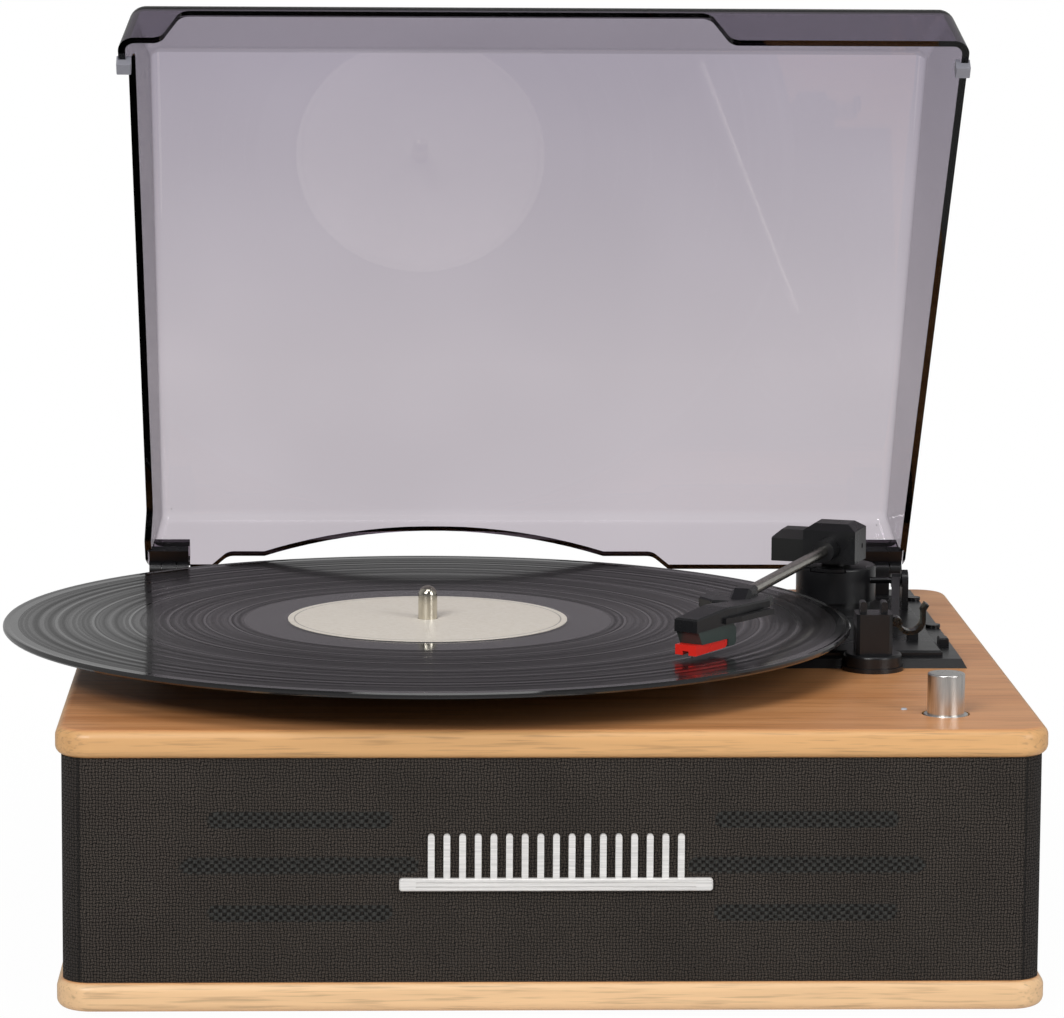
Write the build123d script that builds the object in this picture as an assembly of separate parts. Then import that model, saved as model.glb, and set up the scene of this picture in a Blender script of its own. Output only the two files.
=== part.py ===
from build123d import *
import math
import os

# Record player with a cloth-wrapped wooden cabinet, a tinted lid and a tonearm deck.
# Frame: millimetres, +Z up, the front faces -Y, the origin is the centre of the
# footprint on the surface that the rubber feet stand on.

# Cabinet
BOARD_W = 330.0
BOARD_D = 302.0
BOARD_CORNER_R = 12.0
BOARD_EDGE_R = 3.2
FOOT_H = 2.0
FOOT_R = 9.0
FOOT_INSET = 34.0
BASE_T = 10.0
BODY_H = 75.5
TOP_T = 9.5
BODY_INSET = 2.0
BODY_CORNER_R = 10.0
CLOTH_T = 0.8
CLOTH_GAP = 0.05
WALL_T = 9.0
SCREW_R = 1.75
SCREW_HEAD_R = 3.4
SCREW_HEAD_H = 2.4
SCREW_L = 26.0
SCREW_CLEARANCE = 0.05

# Speaker slots in the front baffle, in a left and a right group of three
SLOT_GROUP_X = 84.0
SLOT_H = 6.0
SLOT_PITCH = 15.7
SLOT_SHORT_L = 61.6
SLOT_LONG_L = 79.4
SLOT_RISE = 1.45

# Badge on the front: a grooved bar under a row of plain upright fins
BADGE_X = 0.8
BADGE_W = 104.0
BADGE_H = 4.2
BADGE_T = 2.0
BADGE_DROP = 4.55
BADGE_CORNER_R = 1.0
BADGE_BEVEL = 0.35
GROOVE_W = 92.8
GROOVE_H = 0.45
GROOVE_DEPTH = 0.35
GROOVE_OFFSET = 0.75
FIN_COUNT = 17
FIN_ROW_W = 85.0
FIN_W = 2.2
FIN_H = 14.9
FIN_T = 1.6

# Deck plate that carries the platter bearing, the motor and the tonearm
PLATTER_X = -40.0
PLATTER_Y = -13.6
DECK_X0 = -75.0
DECK_X1 = 151.4
DECK_Y0 = -31.7
DECK_Y1 = 106.0
DECK_T = 3.2
DECK_BEVEL = 1.8
TIER_X0 = 61.0
TIER_X1 = 143.4
TIER_Y0 = -25.0
TIER_Y1 = 101.0
TIER_T = 2.0
CUTOUT_MARGIN = 8.0
DECK_SCREW_R = 1.5
DECK_SCREW_HEAD_R = 2.7
DECK_SCREW_HEAD_H = 1.2
DECK_SCREW_L = 9.0

# Platter, mat, record and spindle
PLATTER_R = 97.5
PLATTER_TOP_T = 2.5
PLATTER_SKIRT_T = 3.0
PLATTER_H = 7.0
BOSS_R = 9.0
BELT_HUB_R = 55.0
BELT_HUB_T = 3.0
MAT_R = 95.0
MAT_T = 1.8
RECORD_R = 150.8
RECORD_T = 2.0
RECORD_BEAD_W = 2.4
RECORD_GROOVE_STEP = 0.22
LABEL_R = 50.0
LABEL_T = 0.15
SPINDLE_R = 3.42
SPINDLE_SEAT_R = 3.6
SPINDLE_RISE = 12.0
SHAFT_R = 3.0
RUN_GAP = 0.05
BUSH_FLANGE_R = 7.0
BUSH_FLANGE_T = 1.0
BUSH_R = 5.0
BUSH_L = 10.0
SHAFT_TAIL = 2.0

# Motor, pulley and belt
MOTOR_X = 12.0
MOTOR_Y = 38.0
MOTOR_R = 16.0
MOTOR_H = 22.0
MOTOR_SHAFT_R = 1.0
MOTOR_SCREW_R = 11.0
PULLEY_R = 5.0
PULLEY_FLANGE = 0.9
PULLEY_LIFT = 0.8
BELT_W = 3.0
BELT_T = 0.8
BELT_GAP = 0.3

# Tonearm, drawn pointing at -Y and then turned about its upright pivot.
# A size that ends in UP is a height over the top board.
PIVOT_X = 115.4
PIVOT_Y = 80.0
ARM_YAW = 18.9
TURRET_R = 15.0
TURRET_FOOT_R = 13.0
TURRET_FOOT_H = 2.3
TURRET_H = 13.1
AXLE_UP = 28.0
HOUSING_W = 20.0
HOUSING_FRONT = 12.1
HOUSING_BACK = 6.3
HOUSING_H = 14.7
HOUSING_WALL = 2.4
HOUSING_LIFT = 1.7
HOUSING_CHAMFER = 2.4
YOKE_W = 11.0
YOKE_D = 7.0
YOKE_FLANGE_R = 5.5
YOKE_FLANGE_T = 1.3
YOKE_SHAFT_R = 2.5
YOKE_SHAFT_L = 11.0
YOKE_RISE = 8.6
AXLE_R = 1.0
WEIGHT_W = 12.4
WEIGHT_H = 11.0
SOCKET_R = 4.2
SOCKET_L = 10.0
TUBE_R = 2.1
TUBE_END_Y = -143.0
TUBE_END_RISE = 2.0

# Headshell, cartridge and stylus, in the arm's frame
HEAD_FRONT_X = -7.0
HEAD_FRONT_Y = -192.7
HEAD_YAW = 17.9
HEAD_L = 48.0
HEAD_FRONT_W = 9.2
HEAD_MID_W = 10.8
HEAD_TAIL_X0 = -1.5
HEAD_TAIL_X1 = 4.0
HEAD_CREST_S = 19.0
HEAD_MID_S = 24.0
HEAD_FRONT_UP = 29.0
HEAD_CREST_UP = 31.0
HEAD_REAR_UP = 30.2
HEAD_UNDER_UP = 24.4
HEAD_UNDER_SLOPE = 1.0
HEAD_TAIL_T = 2.8
WING_X0 = -14.6
WING_X1 = 9.0
WING_Y0 = -153.5
WING_Y1 = -134.5
WING_CUT = 6.5
WING_UP0 = 25.9
WING_UP1 = 29.5
HOOD_W = 7.0
HOOD_L = 14.5
HOOD_SLOPE_L = 5.5
HOOD_UP = 32.6
FINGER_W = 2.0
FINGER_T = 2.0
FINGER_UP = 25.6
FINGER_S0 = 16.0
FINGER_S1 = 45.0
HOLDER_L = 19.7
HOLDER_W = 8.4
HOLDER_H = 3.5
HOLDER_UP = 16.5
CARTRIDGE_L = 25.0
CARTRIDGE_W = 9.0
STYLUS_LIFT = 0.1
STYLUS_SETBACK = 4.0
CANTILEVER_R = 0.35
PIN_R = 0.55
PIN_L = 2.6
PIN_HALF_X = 2.2
PIN_HALF_Z = 1.3

# Cue lever and its lift platform
CUE_Y = 72.0
CUE_UP = 15.5
CUE_X = 137.2
CUE_LEVER_L = 61.0
CUE_BAR_W = 3.0
CUE_BAR_H = 4.0
CUE_TIP_H = 2.8
CUE_DROOP = 5.8
CUE_TOE_IN = 6.4
CUE_BARREL_R = 2.6
CUE_BARREL_W = 3.4
CUE_SHAFT_R = 1.2
CUE_BRACKET_T = 2.4
CUE_BRACKET_D = 8.0
PLATFORM_R0 = 10.6
PLATFORM_R1 = 14.6
PLATFORM_T = 1.1
PLATFORM_GAP = 0.3
PLATFORM_RISE = 2.0
PLATFORM_REACH = 0.2
PLATFORM_SPAN = 52.0
LIFT_ROD_R = 1.5
LIFT_ROD_L = 8.0

# Arm rest with its swing-over clip
POST_X = 117.5
POST_Y = -33.0
LOBE_R = 11.0
LOBE_T = 1.5
POST_FLANGE_R = 10.3
POST_FLANGE_H = 4.5
PILLAR_W = 12.8
PILLAR_D = 12.0
PILLAR_TOP_UP = 20.4
PRONG_GAP = 5.2
PRONG_T = 2.2
PRONG_H = 4.1
PRONG_D = 6.0
CLIP_X = 125.9
CLIP_UP = 17.2
CLIP_BARREL_R = 1.7
CLIP_PIN_R = 0.6
CLIP_W = 6.4
EAR_W = 2.4
HOOK_R = 4.6
HOOK_T = 1.5
HOOK_RISE = 3.6

# Switch sliders on the deck
SPEED_X = 135.4
SPEED_Y = -3.0
STOP_X = 146.4
STOP_Y = -4.0
SLIDER_W = 3.6
SLIDER_L = 6.0
SLIDER_H = 3.0
SLIDER_GAP = 0.3
STEM_W = 1.6
STEM_L = 3.0
STEM_H = 2.0
SPEED_TRAVEL = 8.0
STOP_TRAVEL = 4.0

# Lid, drawn closed about its hinge line and then opened by LID_OPEN degrees.
# u runs forward from the hinge line, w runs up from it.
HINGE_Y = 123.5
HINGE_RISE = 11.6
LID_OPEN = 55.0
LID_T = 2.5
LID_RADIUS = 6.0
LID_FRONT_U = 263.0
LID_FRONT_W = -8.7
LID_BROW_U = 261.0
LID_BROW_W = 13.0
LID_BEND_U = 225.5
LID_BEND_W = 37.0
LID_BACK_U = 1.5
LID_BACK_W = 28.0
LID_REAR_U = -1.3
LID_REAR_W = 1.7
LID_RIM_HALF = 148.3
LID_PANEL_HALF = 140.5
LID_SKIRT = 40.0
RECESS_W = 8.8
RECESS_X0 = -133.5
RECESS_X1 = 65.0
RECESS_RUN = 6.6
RECESS_R = 5.0
LEFT_CUT_FRONT_U = 250.4
LEFT_CUT_REAR_U = 14.0
LEFT_CUT_W = 6.5
ARCH_X0 = -121.0
ARCH_X1 = 55.0
SHOULDER_W = 8.2
SHOULDER_RUN = 6.0
ARCH_LEFT_X = -101.0
ARCH_RIGHT_X = 30.0
ARCH_W = 21.0
HINGE_X0 = 129.5
HINGE_X1 = 145.5
BOSS_W0 = 3.4
BOSS_W1 = 7.4
BOSS_U1 = 9.0
BARREL_R = 3.2
HINGE_PIN_R = 1.5
KNUCKLE_X0 = 134.8
KNUCKLE_X1 = 140.2
KNUCKLE_GAP = 0.3
HINGE_END_GAP = 0.5
HINGE_FOOT_X0 = 129.0
HINGE_FOOT_X1 = 150.0
HINGE_FOOT_D = 18.0
HINGE_FOOT_T = 2.0
BUMPER_U = 251.0
BUMPER_L = 4.2
BUMPER_IN = 2.0
BUMPER_OUT = 0.6
BUMPER_UP = 2.0
BUMPER_GAP = 0.15

# Volume control and power lamp
KNOB_X = 133.0
KNOB_Y = -120.0
KNOB_R = 6.3
KNOB_H = 14.0
KNOB_SKIRT_R = 7.6
KNOB_SKIRT_T = 1.2
KNOB_HOLE_R = 8.2
KNOB_SINK = 1.0
POT_BODY_R = 8.5
POT_BODY_H = 9.0
POT_PLATE = 26.0
POT_PLATE_T = 1.5
POT_BUSH_R = 3.9
POT_BUSH_H = 5.0
POT_SHAFT_R = 3.0
POT_SHAFT_GRIP = 9.0
LED_X = 119.8
LED_Y = -112.2
LED_R = 1.1
LED_H = 7.0
LED_RISE = 0.5

# Speakers, amplifier and rear connections
SPEAKER_MARGIN = 3.3
SPEAKER_RIM_W = 5.0
SPEAKER_FLANGE_T = 2.0
SPEAKER_NECK_R = 19.0
SPEAKER_DEPTH = 18.0
BASKET_T = 1.2
MAGNET_R = 21.0
MAGNET_T = 10.0
CONE_T = 0.8
CONE_THROAT_R = 8.0
CONE_DEPTH = 12.0
CONE_RIM_GAP = 0.7
AMP_X = 70.0
AMP_Y = 92.0
AMP_W = 88.0
AMP_D = 58.0
AMP_T = 1.6
STANDOFF_H = 6.0
STANDOFF_R = 3.0
STANDOFF_INSET = 5.0
CAPACITOR_R = 5.0
CAPACITOR_H = 13.0
CAPACITOR_PITCH = 14.0
CAPACITOR_COUNT = 3
HEAT_SINK_W = 26.0
HEAT_SINK_D = 16.0
HEAT_SINK_H = 20.0
HEAT_SINK_BACK_T = 4.0
HEAT_SINK_GAP = 2.4
HEAT_SINK_GAPS = 5
JACK_PLATE_W = 80.0
JACK_PLATE_H = 30.0
JACK_PLATE_T = 1.6
JACK_WINDOW_W = 68.0
JACK_WINDOW_H = 20.0
JACK_X = 70.0
JACK_DROP = 7.75
RCA_R = 4.15
RCA_PROUD = 9.0
RCA_PITCH = 16.0
DC_R = 5.5
DC_BORE_R = 3.0
DC_PIN_R = 1.0
DC_X = 94.0
RCA_X = 52.0
RCA_BORE_R = 1.6
JACK_BACK = 8.0
JACK_COLLAR_T = 3.0
JACK_COLLAR_LIP = 1.6
JACK_NUT_T = 1.5

# Heights worked out from the sizes above
BODY_Z0 = FOOT_H + BASE_T
BODY_Z1 = BODY_Z0 + BODY_H
TOP_Z = BODY_Z1 + TOP_T
DECK_Z = TOP_Z + DECK_T
TIER_Z = DECK_Z + TIER_T
PLATTER_Z0 = DECK_Z + BUSH_FLANGE_T
PLATTER_Z1 = PLATTER_Z0 + PLATTER_H
RECORD_Z0 = PLATTER_Z1 + MAT_T
RECORD_Z1 = RECORD_Z0 + RECORD_T
HINGE_Z = TOP_Z + HINGE_RISE
WALL_X = BOARD_W / 2 - BODY_INSET - CLOTH_T - CLOTH_GAP
WALL_Y = BOARD_D / 2 - BODY_INSET - CLOTH_T - CLOTH_GAP
TURRET_Z = TIER_Z + TURRET_FOOT_H + TURRET_H
HOUSING_Z0 = TURRET_Z + HOUSING_LIFT
HOUSING_Z1 = HOUSING_Z0 + HOUSING_H
BAFFLE_BACK_Y = WALL_T - WALL_Y
BODY_MID_Z = BODY_Z0 + BODY_H / 2
SLOT_MID_Z = BODY_MID_Z + SLOT_RISE
BADGE_Z = BODY_MID_Z - BADGE_DROP
JACK_Z = BODY_MID_Z - JACK_DROP
SPEAKER_FLANGE_R = BODY_H / 2 - SLOT_RISE - SPEAKER_MARGIN
SPEAKER_MOUTH_R = SPEAKER_FLANGE_R - SPEAKER_RIM_W
AXLE_Z = TOP_Z + AXLE_UP
HEAD_FRONT_Z = TOP_Z + HEAD_FRONT_UP
HEAD_CREST_Z = TOP_Z + HEAD_CREST_UP
HEAD_REAR_Z = TOP_Z + HEAD_REAR_UP
HEAD_UNDER_Z = TOP_Z + HEAD_UNDER_UP
WING_Z0 = TOP_Z + WING_UP0
WING_Z1 = TOP_Z + WING_UP1
HOOD_Z = TOP_Z + HOOD_UP
FINGER_Z = TOP_Z + FINGER_UP
HOLDER_Z = TOP_Z + HOLDER_UP
CUE_Z = TOP_Z + CUE_UP
PILLAR_TOP_Z = TOP_Z + PILLAR_TOP_UP
CLIP_Z = TOP_Z + CLIP_UP


def box(x0, x1, y0, y1, z0, z1):
    size = Box(x1 - x0, y1 - y0, z1 - z0)
    return Pos((x0 + x1) / 2, (y0 + y1) / 2, (z0 + z1) / 2) * size


def rod(x, y, z0, z1, radius):
    return Pos(x, y, (z0 + z1) / 2) * Cylinder(radius, z1 - z0)


def rod_x(x0, x1, y, z, radius):
    return Pos((x0 + x1) / 2, y, z) * Rot(0, 90, 0) * Cylinder(radius, x1 - x0)


def rod_y(x, y0, y1, z, radius):
    return Pos(x, (y0 + y1) / 2, z) * Rot(90, 0, 0) * Cylinder(radius, y1 - y0)


def slab(width, depth, radius, z0, z1):
    return extrude(Pos(0, 0, z0) * RectangleRounded(width, depth, radius), z1 - z0)


def turned(points, x, y):
    """A body turned about the upright line through (x, y) from (radius, z) points."""
    outline = make_face(Polyline(*[(r, 0, z) for r, z in points], close=True))
    return Pos(x, y, 0) * revolve(outline, Axis.Z)


def rounded_polygon(points, radii):
    """A face in the XY plane whose corners have the given radii, 0 for a sharp one."""
    face = make_face(Polyline(*points, close=True))
    for (px, py), radius in zip(points, radii):
        if radius > 0:
            corner = face.vertices().sort_by_distance((px, py, 0))[0]
            face = fillet([corner], radius)
    return face


def solids_of(*shapes):
    """A group of separate solids that share one node."""
    pieces = []
    for shape in shapes:
        pieces.extend(shape.solids())
    return Compound(children=pieces)


# Cabinet boards, walls and cloth

def edge_rounded(board):
    rims = board.faces().filter_by(Axis.Z).edges()
    return fillet(rims, BOARD_EDGE_R)


def foot_places():
    for sx in (-1, 1):
        for sy in (-1, 1):
            yield sx * (BOARD_W / 2 - FOOT_INSET), sy * (BOARD_D / 2 - FOOT_INSET)


def base_screw_places():
    side = WALL_X - WALL_T / 2
    end = WALL_Y - WALL_T / 2
    for sign in (-1, 1):
        yield sign * side, -BOARD_D / 5
        yield sign * side, BOARD_D / 5
        yield sign * BOARD_W / 5, sign * end
        yield -sign * BOARD_W / 5, sign * end


def base_screw(x, y, extra):
    """A countersunk screw from below; extra grows it into the hole that takes it."""
    head = Pos(x, y, FOOT_H + SCREW_HEAD_H / 2) * Cone(
        SCREW_HEAD_R + extra, SCREW_R + extra, SCREW_HEAD_H
    )
    shank = rod(x, y, FOOT_H, FOOT_H + SCREW_L + extra, SCREW_R + extra)
    return head + shank


def base_screw_holes():
    holes = [base_screw(x, y, SCREW_CLEARANCE) for x, y in base_screw_places()]
    return Compound(children=holes)


def rubber_feet():
    feet = [rod(x, y, 0, FOOT_H, FOOT_R) for x, y in foot_places()]
    return solids_of(*feet)


def base_board():
    board = edge_rounded(slab(BOARD_W, BOARD_D, BOARD_CORNER_R, FOOT_H, BODY_Z0))
    return board - base_screw_holes()


def wall_ring():
    outer = slab(2 * WALL_X, 2 * WALL_Y, BODY_CORNER_R - CLOTH_T - CLOTH_GAP, BODY_Z0, BODY_Z1)
    inner_x = WALL_X - WALL_T
    inner_y = WALL_Y - WALL_T
    room = box(-inner_x, inner_x, -inner_y, inner_y, BODY_Z0, BODY_Z1)
    return outer - room - base_screw_holes()


def speaker_slots():
    """The six slots as cutters; the middle one of each group is the longest."""
    slots = []
    for side in (-1, 1):
        for row, length in ((-1, SLOT_SHORT_L), (0, SLOT_LONG_L), (1, SLOT_SHORT_L)):
            outline = SlotOverall(length, SLOT_H)
            place = Pos(side * SLOT_GROUP_X, -WALL_Y - 1, SLOT_MID_Z + row * SLOT_PITCH)
            slots.append(extrude(place * Rot(-90, 0, 0) * outline, WALL_T + 2))
    return slots


def walls():
    ring = wall_ring()
    far = BOARD_W
    inner_y = WALL_Y - WALL_T
    front = ring & box(-far, far, -far, -inner_y, 0, TOP_Z)
    rear = ring & box(-far, far, inner_y, far, 0, TOP_Z)
    left = ring & box(-far, 0, -inner_y, inner_y, 0, TOP_Z)
    right = ring & box(0, far, -inner_y, inner_y, 0, TOP_Z)
    for slot in speaker_slots():
        front -= slot
    rear -= jack_window(inner_y - 1, WALL_Y + 1)
    return front, left, right, rear


def jack_window(y0, y1):
    half_w = JACK_WINDOW_W / 2
    half_h = JACK_WINDOW_H / 2
    return box(JACK_X - half_w, JACK_X + half_w, y0, y1, JACK_Z - half_h, JACK_Z + half_h)


def grille_cloth():
    width = BOARD_W - 2 * BODY_INSET
    depth = BOARD_D - 2 * BODY_INSET
    outer = slab(width, depth, BODY_CORNER_R, BODY_Z0, BODY_Z1)
    inner = slab(
        width - 2 * CLOTH_T, depth - 2 * CLOTH_T, BODY_CORNER_R - CLOTH_T, BODY_Z0, BODY_Z1
    )
    return outer - inner - jack_window(depth / 2 - 2, depth / 2 + 1)


def top_board():
    board = edge_rounded(slab(BOARD_W, BOARD_D, BOARD_CORNER_R, BODY_Z1, TOP_Z))
    well = box(
        DECK_X0 + CUTOUT_MARGIN, DECK_X1 - CUTOUT_MARGIN, DECK_Y0 + CUTOUT_MARGIN,
        DECK_Y1 - CUTOUT_MARGIN, BODY_Z1, TOP_Z,
    )
    board -= well
    board -= rod(KNOB_X, KNOB_Y, BODY_Z1, TOP_Z, KNOB_HOLE_R)
    board -= rod(LED_X, LED_Y, BODY_Z1, TOP_Z, LED_R + SCREW_CLEARANCE)
    for x, y in deck_screw_places():
        board -= rod(x, y, BODY_Z1, TOP_Z, DECK_SCREW_R + SCREW_CLEARANCE)
    return board


# Badge

def badge_bar():
    """A slim bar with rounded corners, a bevelled face and two fine lines along it."""
    front = -(BOARD_D / 2 - BODY_INSET)
    face_y = front - BADGE_T
    half = BADGE_W / 2
    bar = box(
        BADGE_X - half, BADGE_X + half, face_y, front, BADGE_Z - BADGE_H / 2, BADGE_Z + BADGE_H / 2,
    )
    bar = fillet(bar.edges().filter_by(Axis.Y), BADGE_CORNER_R)
    bar = chamfer(bar.faces().sort_by(Axis.Y)[0].edges(), BADGE_BEVEL)
    for side in (-1, 1):
        z = BADGE_Z + side * GROOVE_OFFSET
        bar -= box(
            BADGE_X - GROOVE_W / 2, BADGE_X + GROOVE_W / 2, face_y, face_y + GROOVE_DEPTH,
            z - GROOVE_H / 2, z + GROOVE_H / 2,
        )
    return bar


def badge_fins():
    front = -(BOARD_D / 2 - BODY_INSET)
    z0 = BADGE_Z + BADGE_H / 2
    pitch = (FIN_ROW_W - FIN_W) / (FIN_COUNT - 1)
    fins = []
    for index in range(FIN_COUNT):
        x = BADGE_X + (index - (FIN_COUNT - 1) / 2) * pitch
        fin = box(x - FIN_W / 2, x + FIN_W / 2, front - FIN_T, front, z0, z0 + FIN_H)
        top = fin.edges().filter_by(Axis.Y).group_by(Axis.Z)[-1]
        fins.append(fillet(top, FIN_W * 0.45))
    return solids_of(*fins)


# Deck

def deck_screw_places():
    edge = CUTOUT_MARGIN / 2
    return (
        (DECK_X0 + edge, DECK_Y0 + edge),
        (DECK_X0 + edge, DECK_Y1 - edge),
        (DECK_X1 - edge, DECK_Y1 - edge),
        (DECK_X1 - edge, (TIER_Y0 + TIER_Y1) / 2),
    )


def motor_screw_places():
    for side in (-1, 1):
        yield MOTOR_X + side * MOTOR_SCREW_R, MOTOR_Y


def deck_plate():
    width = DECK_X1 - DECK_X0
    depth = DECK_Y1 - DECK_Y0
    centre = Pos((DECK_X0 + DECK_X1) / 2, (DECK_Y0 + DECK_Y1) / 2, TOP_Z)
    foot = centre * Rectangle(width, depth)
    crown = centre * Pos(0, 0, DECK_T) * Rectangle(width - 2 * DECK_BEVEL, depth - 2 * DECK_BEVEL)
    plate = loft([foot, crown])
    tier = box(TIER_X0, TIER_X1, TIER_Y0, TIER_Y1, DECK_Z, TIER_Z)
    tier = chamfer(tier.faces().sort_by(Axis.Z)[-1].edges(), 0.8)
    plate = plate + tier + rod(POST_X, POST_Y, TOP_Z, TOP_Z + LOBE_T, LOBE_R)
    plate -= rod(POST_X, POST_Y, TOP_Z + LOBE_T, TIER_Z, POST_FLANGE_R + SLIDER_GAP)
    plate -= rod(PLATTER_X, PLATTER_Y, TOP_Z, DECK_Z, BUSH_R + SCREW_CLEARANCE)
    plate -= rod(MOTOR_X, MOTOR_Y, TOP_Z, DECK_Z, 2 * MOTOR_SHAFT_R)
    for x, y in (*deck_screw_places(), *motor_screw_places()):
        plate -= rod(x, y, TOP_Z, DECK_Z, DECK_SCREW_R + SCREW_CLEARANCE)
    return plate


def deck_screws():
    screws = []
    for x, y in (*deck_screw_places(), *motor_screw_places()):
        head = rod(x, y, DECK_Z, DECK_Z + DECK_SCREW_HEAD_H, DECK_SCREW_HEAD_R)
        head -= box(
            x - DECK_SCREW_HEAD_R, x + DECK_SCREW_HEAD_R, y - 0.35, y + 0.35,
            DECK_Z + DECK_SCREW_HEAD_H / 2, DECK_Z + DECK_SCREW_HEAD_H,
        )
        shank = rod(x, y, DECK_Z + DECK_SCREW_HEAD_H / 2 - DECK_SCREW_L, DECK_Z, DECK_SCREW_R)
        screws.append(head + shank)
    return solids_of(*screws)


def bearing_bush():
    flange = rod(PLATTER_X, PLATTER_Y, DECK_Z, DECK_Z + BUSH_FLANGE_T, BUSH_FLANGE_R)
    barrel = rod(PLATTER_X, PLATTER_Y, DECK_Z - BUSH_L, DECK_Z, BUSH_R)
    bore = rod(PLATTER_X, PLATTER_Y, DECK_Z - BUSH_L, DECK_Z + BUSH_FLANGE_T, SHAFT_R + RUN_GAP)
    return flange + barrel - bore


def spindle():
    """A shaft under the platter, and over it a pin that is a little thicker at the record."""
    tip_z = RECORD_Z1 + SPINDLE_RISE
    neck_z = tip_z - SPINDLE_R
    shaft = rod(PLATTER_X, PLATTER_Y, DECK_Z - BUSH_L - SHAFT_TAIL, PLATTER_Z1, SHAFT_R)
    seat_z = RECORD_Z1 + LABEL_T + RUN_GAP
    seat = rod(PLATTER_X, PLATTER_Y, PLATTER_Z1, seat_z, SPINDLE_SEAT_R)
    post = rod(PLATTER_X, PLATTER_Y, seat_z, neck_z, SPINDLE_R)
    dome = Pos(PLATTER_X, PLATTER_Y, neck_z) * Sphere(SPINDLE_R)
    dome &= rod(PLATTER_X, PLATTER_Y, neck_z, tip_z, SPINDLE_R + 1)
    return shaft + seat + post + dome


def platter():
    deck_z = PLATTER_Z1 - PLATTER_TOP_T
    skirt_r = PLATTER_R - PLATTER_SKIRT_T
    hub_r = BELT_HUB_R - BELT_HUB_T
    outline = [
        (SHAFT_R, PLATTER_Z0), (BOSS_R, PLATTER_Z0), (BOSS_R, deck_z), (hub_r, deck_z),
        (hub_r, PLATTER_Z0), (BELT_HUB_R, PLATTER_Z0), (BELT_HUB_R, deck_z), (skirt_r, deck_z),
        (skirt_r, PLATTER_Z0), (PLATTER_R, PLATTER_Z0), (PLATTER_R, PLATTER_Z1),
        (SHAFT_R, PLATTER_Z1),
    ]
    disc = turned(outline, PLATTER_X, PLATTER_Y)
    rim = disc.edges().filter_by(GeomType.CIRCLE).group_by(Axis.Z)[-1].sort_by(SortBy.LENGTH)[-1]
    return chamfer([rim], 0.8)


def ring(inner_r, outer_r, z0, z1):
    outline = [(inner_r, z0), (outer_r, z0), (outer_r, z1), (inner_r, z1)]
    return turned(outline, PLATTER_X, PLATTER_Y)


def record():
    """A disc with a raised edge bead and label area on both faces."""
    low = RECORD_Z0 + RECORD_GROOVE_STEP
    high = RECORD_Z1 - RECORD_GROOVE_STEP
    hole_r = SPINDLE_SEAT_R + RUN_GAP
    bead_r = RECORD_R - RECORD_BEAD_W
    label_edge = LABEL_R + 1.5
    mid_z = (RECORD_Z0 + RECORD_Z1) / 2
    outline = [
        (hole_r, RECORD_Z0), (LABEL_R, RECORD_Z0), (label_edge, low), (bead_r, low),
        (bead_r + 1.2, RECORD_Z0), (RECORD_R - 0.5, RECORD_Z0), (RECORD_R, mid_z - 0.4),
        (RECORD_R, mid_z + 0.4), (RECORD_R - 0.5, RECORD_Z1), (bead_r + 1.2, RECORD_Z1),
        (bead_r, high), (label_edge, high), (LABEL_R, RECORD_Z1), (hole_r, RECORD_Z1),
    ]
    return turned(outline, PLATTER_X, PLATTER_Y)


def record_label():
    top_z = RECORD_Z1 + LABEL_T
    return ring(SPINDLE_SEAT_R + 2 * RUN_GAP, LABEL_R - 0.2, RECORD_Z1, top_z)


def motor():
    can = rod(MOTOR_X, MOTOR_Y, TOP_Z - MOTOR_H, TOP_Z, MOTOR_R)
    can = chamfer(can.faces().sort_by(Axis.Z)[0].edges(), 1.2)
    can -= rod(MOTOR_X, MOTOR_Y, TOP_Z - MOTOR_H / 2, TOP_Z, MOTOR_SHAFT_R + RUN_GAP)
    for x, y in motor_screw_places():
        can -= rod(x, y, TOP_Z - DECK_SCREW_L, TOP_Z, DECK_SCREW_R + SCREW_CLEARANCE)
    return can


def motor_pulley():
    z0 = DECK_Z + PULLEY_LIFT
    belt_z = PLATTER_Z0 + PULLEY_LIFT
    top_z = belt_z + BELT_W + PULLEY_FLANGE / 2
    shaft = rod(MOTOR_X, MOTOR_Y, TOP_Z - MOTOR_H / 2 + PULLEY_LIFT, top_z, MOTOR_SHAFT_R)
    drum = rod(MOTOR_X, MOTOR_Y, z0, top_z, PULLEY_R)
    lip = rod(MOTOR_X, MOTOR_Y, z0, belt_z - BELT_GAP, PULLEY_R + PULLEY_FLANGE + BELT_T)
    return shaft + drum + lip


def belt_outline(hub_r, pulley_r):
    """The convex outline round the belt hub and the pulley."""
    dx = MOTOR_X - PLATTER_X
    dy = MOTOR_Y - PLATTER_Y
    reach = math.hypot(dx, dy)
    heading = math.atan2(dy, dx)
    spread = math.acos((hub_r - pulley_r) / reach)
    left = heading + spread
    right = heading - spread

    def point(cx, cy, radius, angle):
        return cx + radius * math.cos(angle), cy + radius * math.sin(angle)

    hub_left = point(PLATTER_X, PLATTER_Y, hub_r, left)
    hub_back = point(PLATTER_X, PLATTER_Y, hub_r, heading + math.pi)
    hub_right = point(PLATTER_X, PLATTER_Y, hub_r, right)
    tip_right = point(MOTOR_X, MOTOR_Y, pulley_r, right)
    tip_front = point(MOTOR_X, MOTOR_Y, pulley_r, heading)
    tip_left = point(MOTOR_X, MOTOR_Y, pulley_r, left)
    path = [
        ThreePointArc(hub_left, hub_back, hub_right),
        Line(hub_right, tip_right),
        ThreePointArc(tip_right, tip_front, tip_left),
        Line(tip_left, hub_left),
    ]
    return make_face(path)


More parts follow.
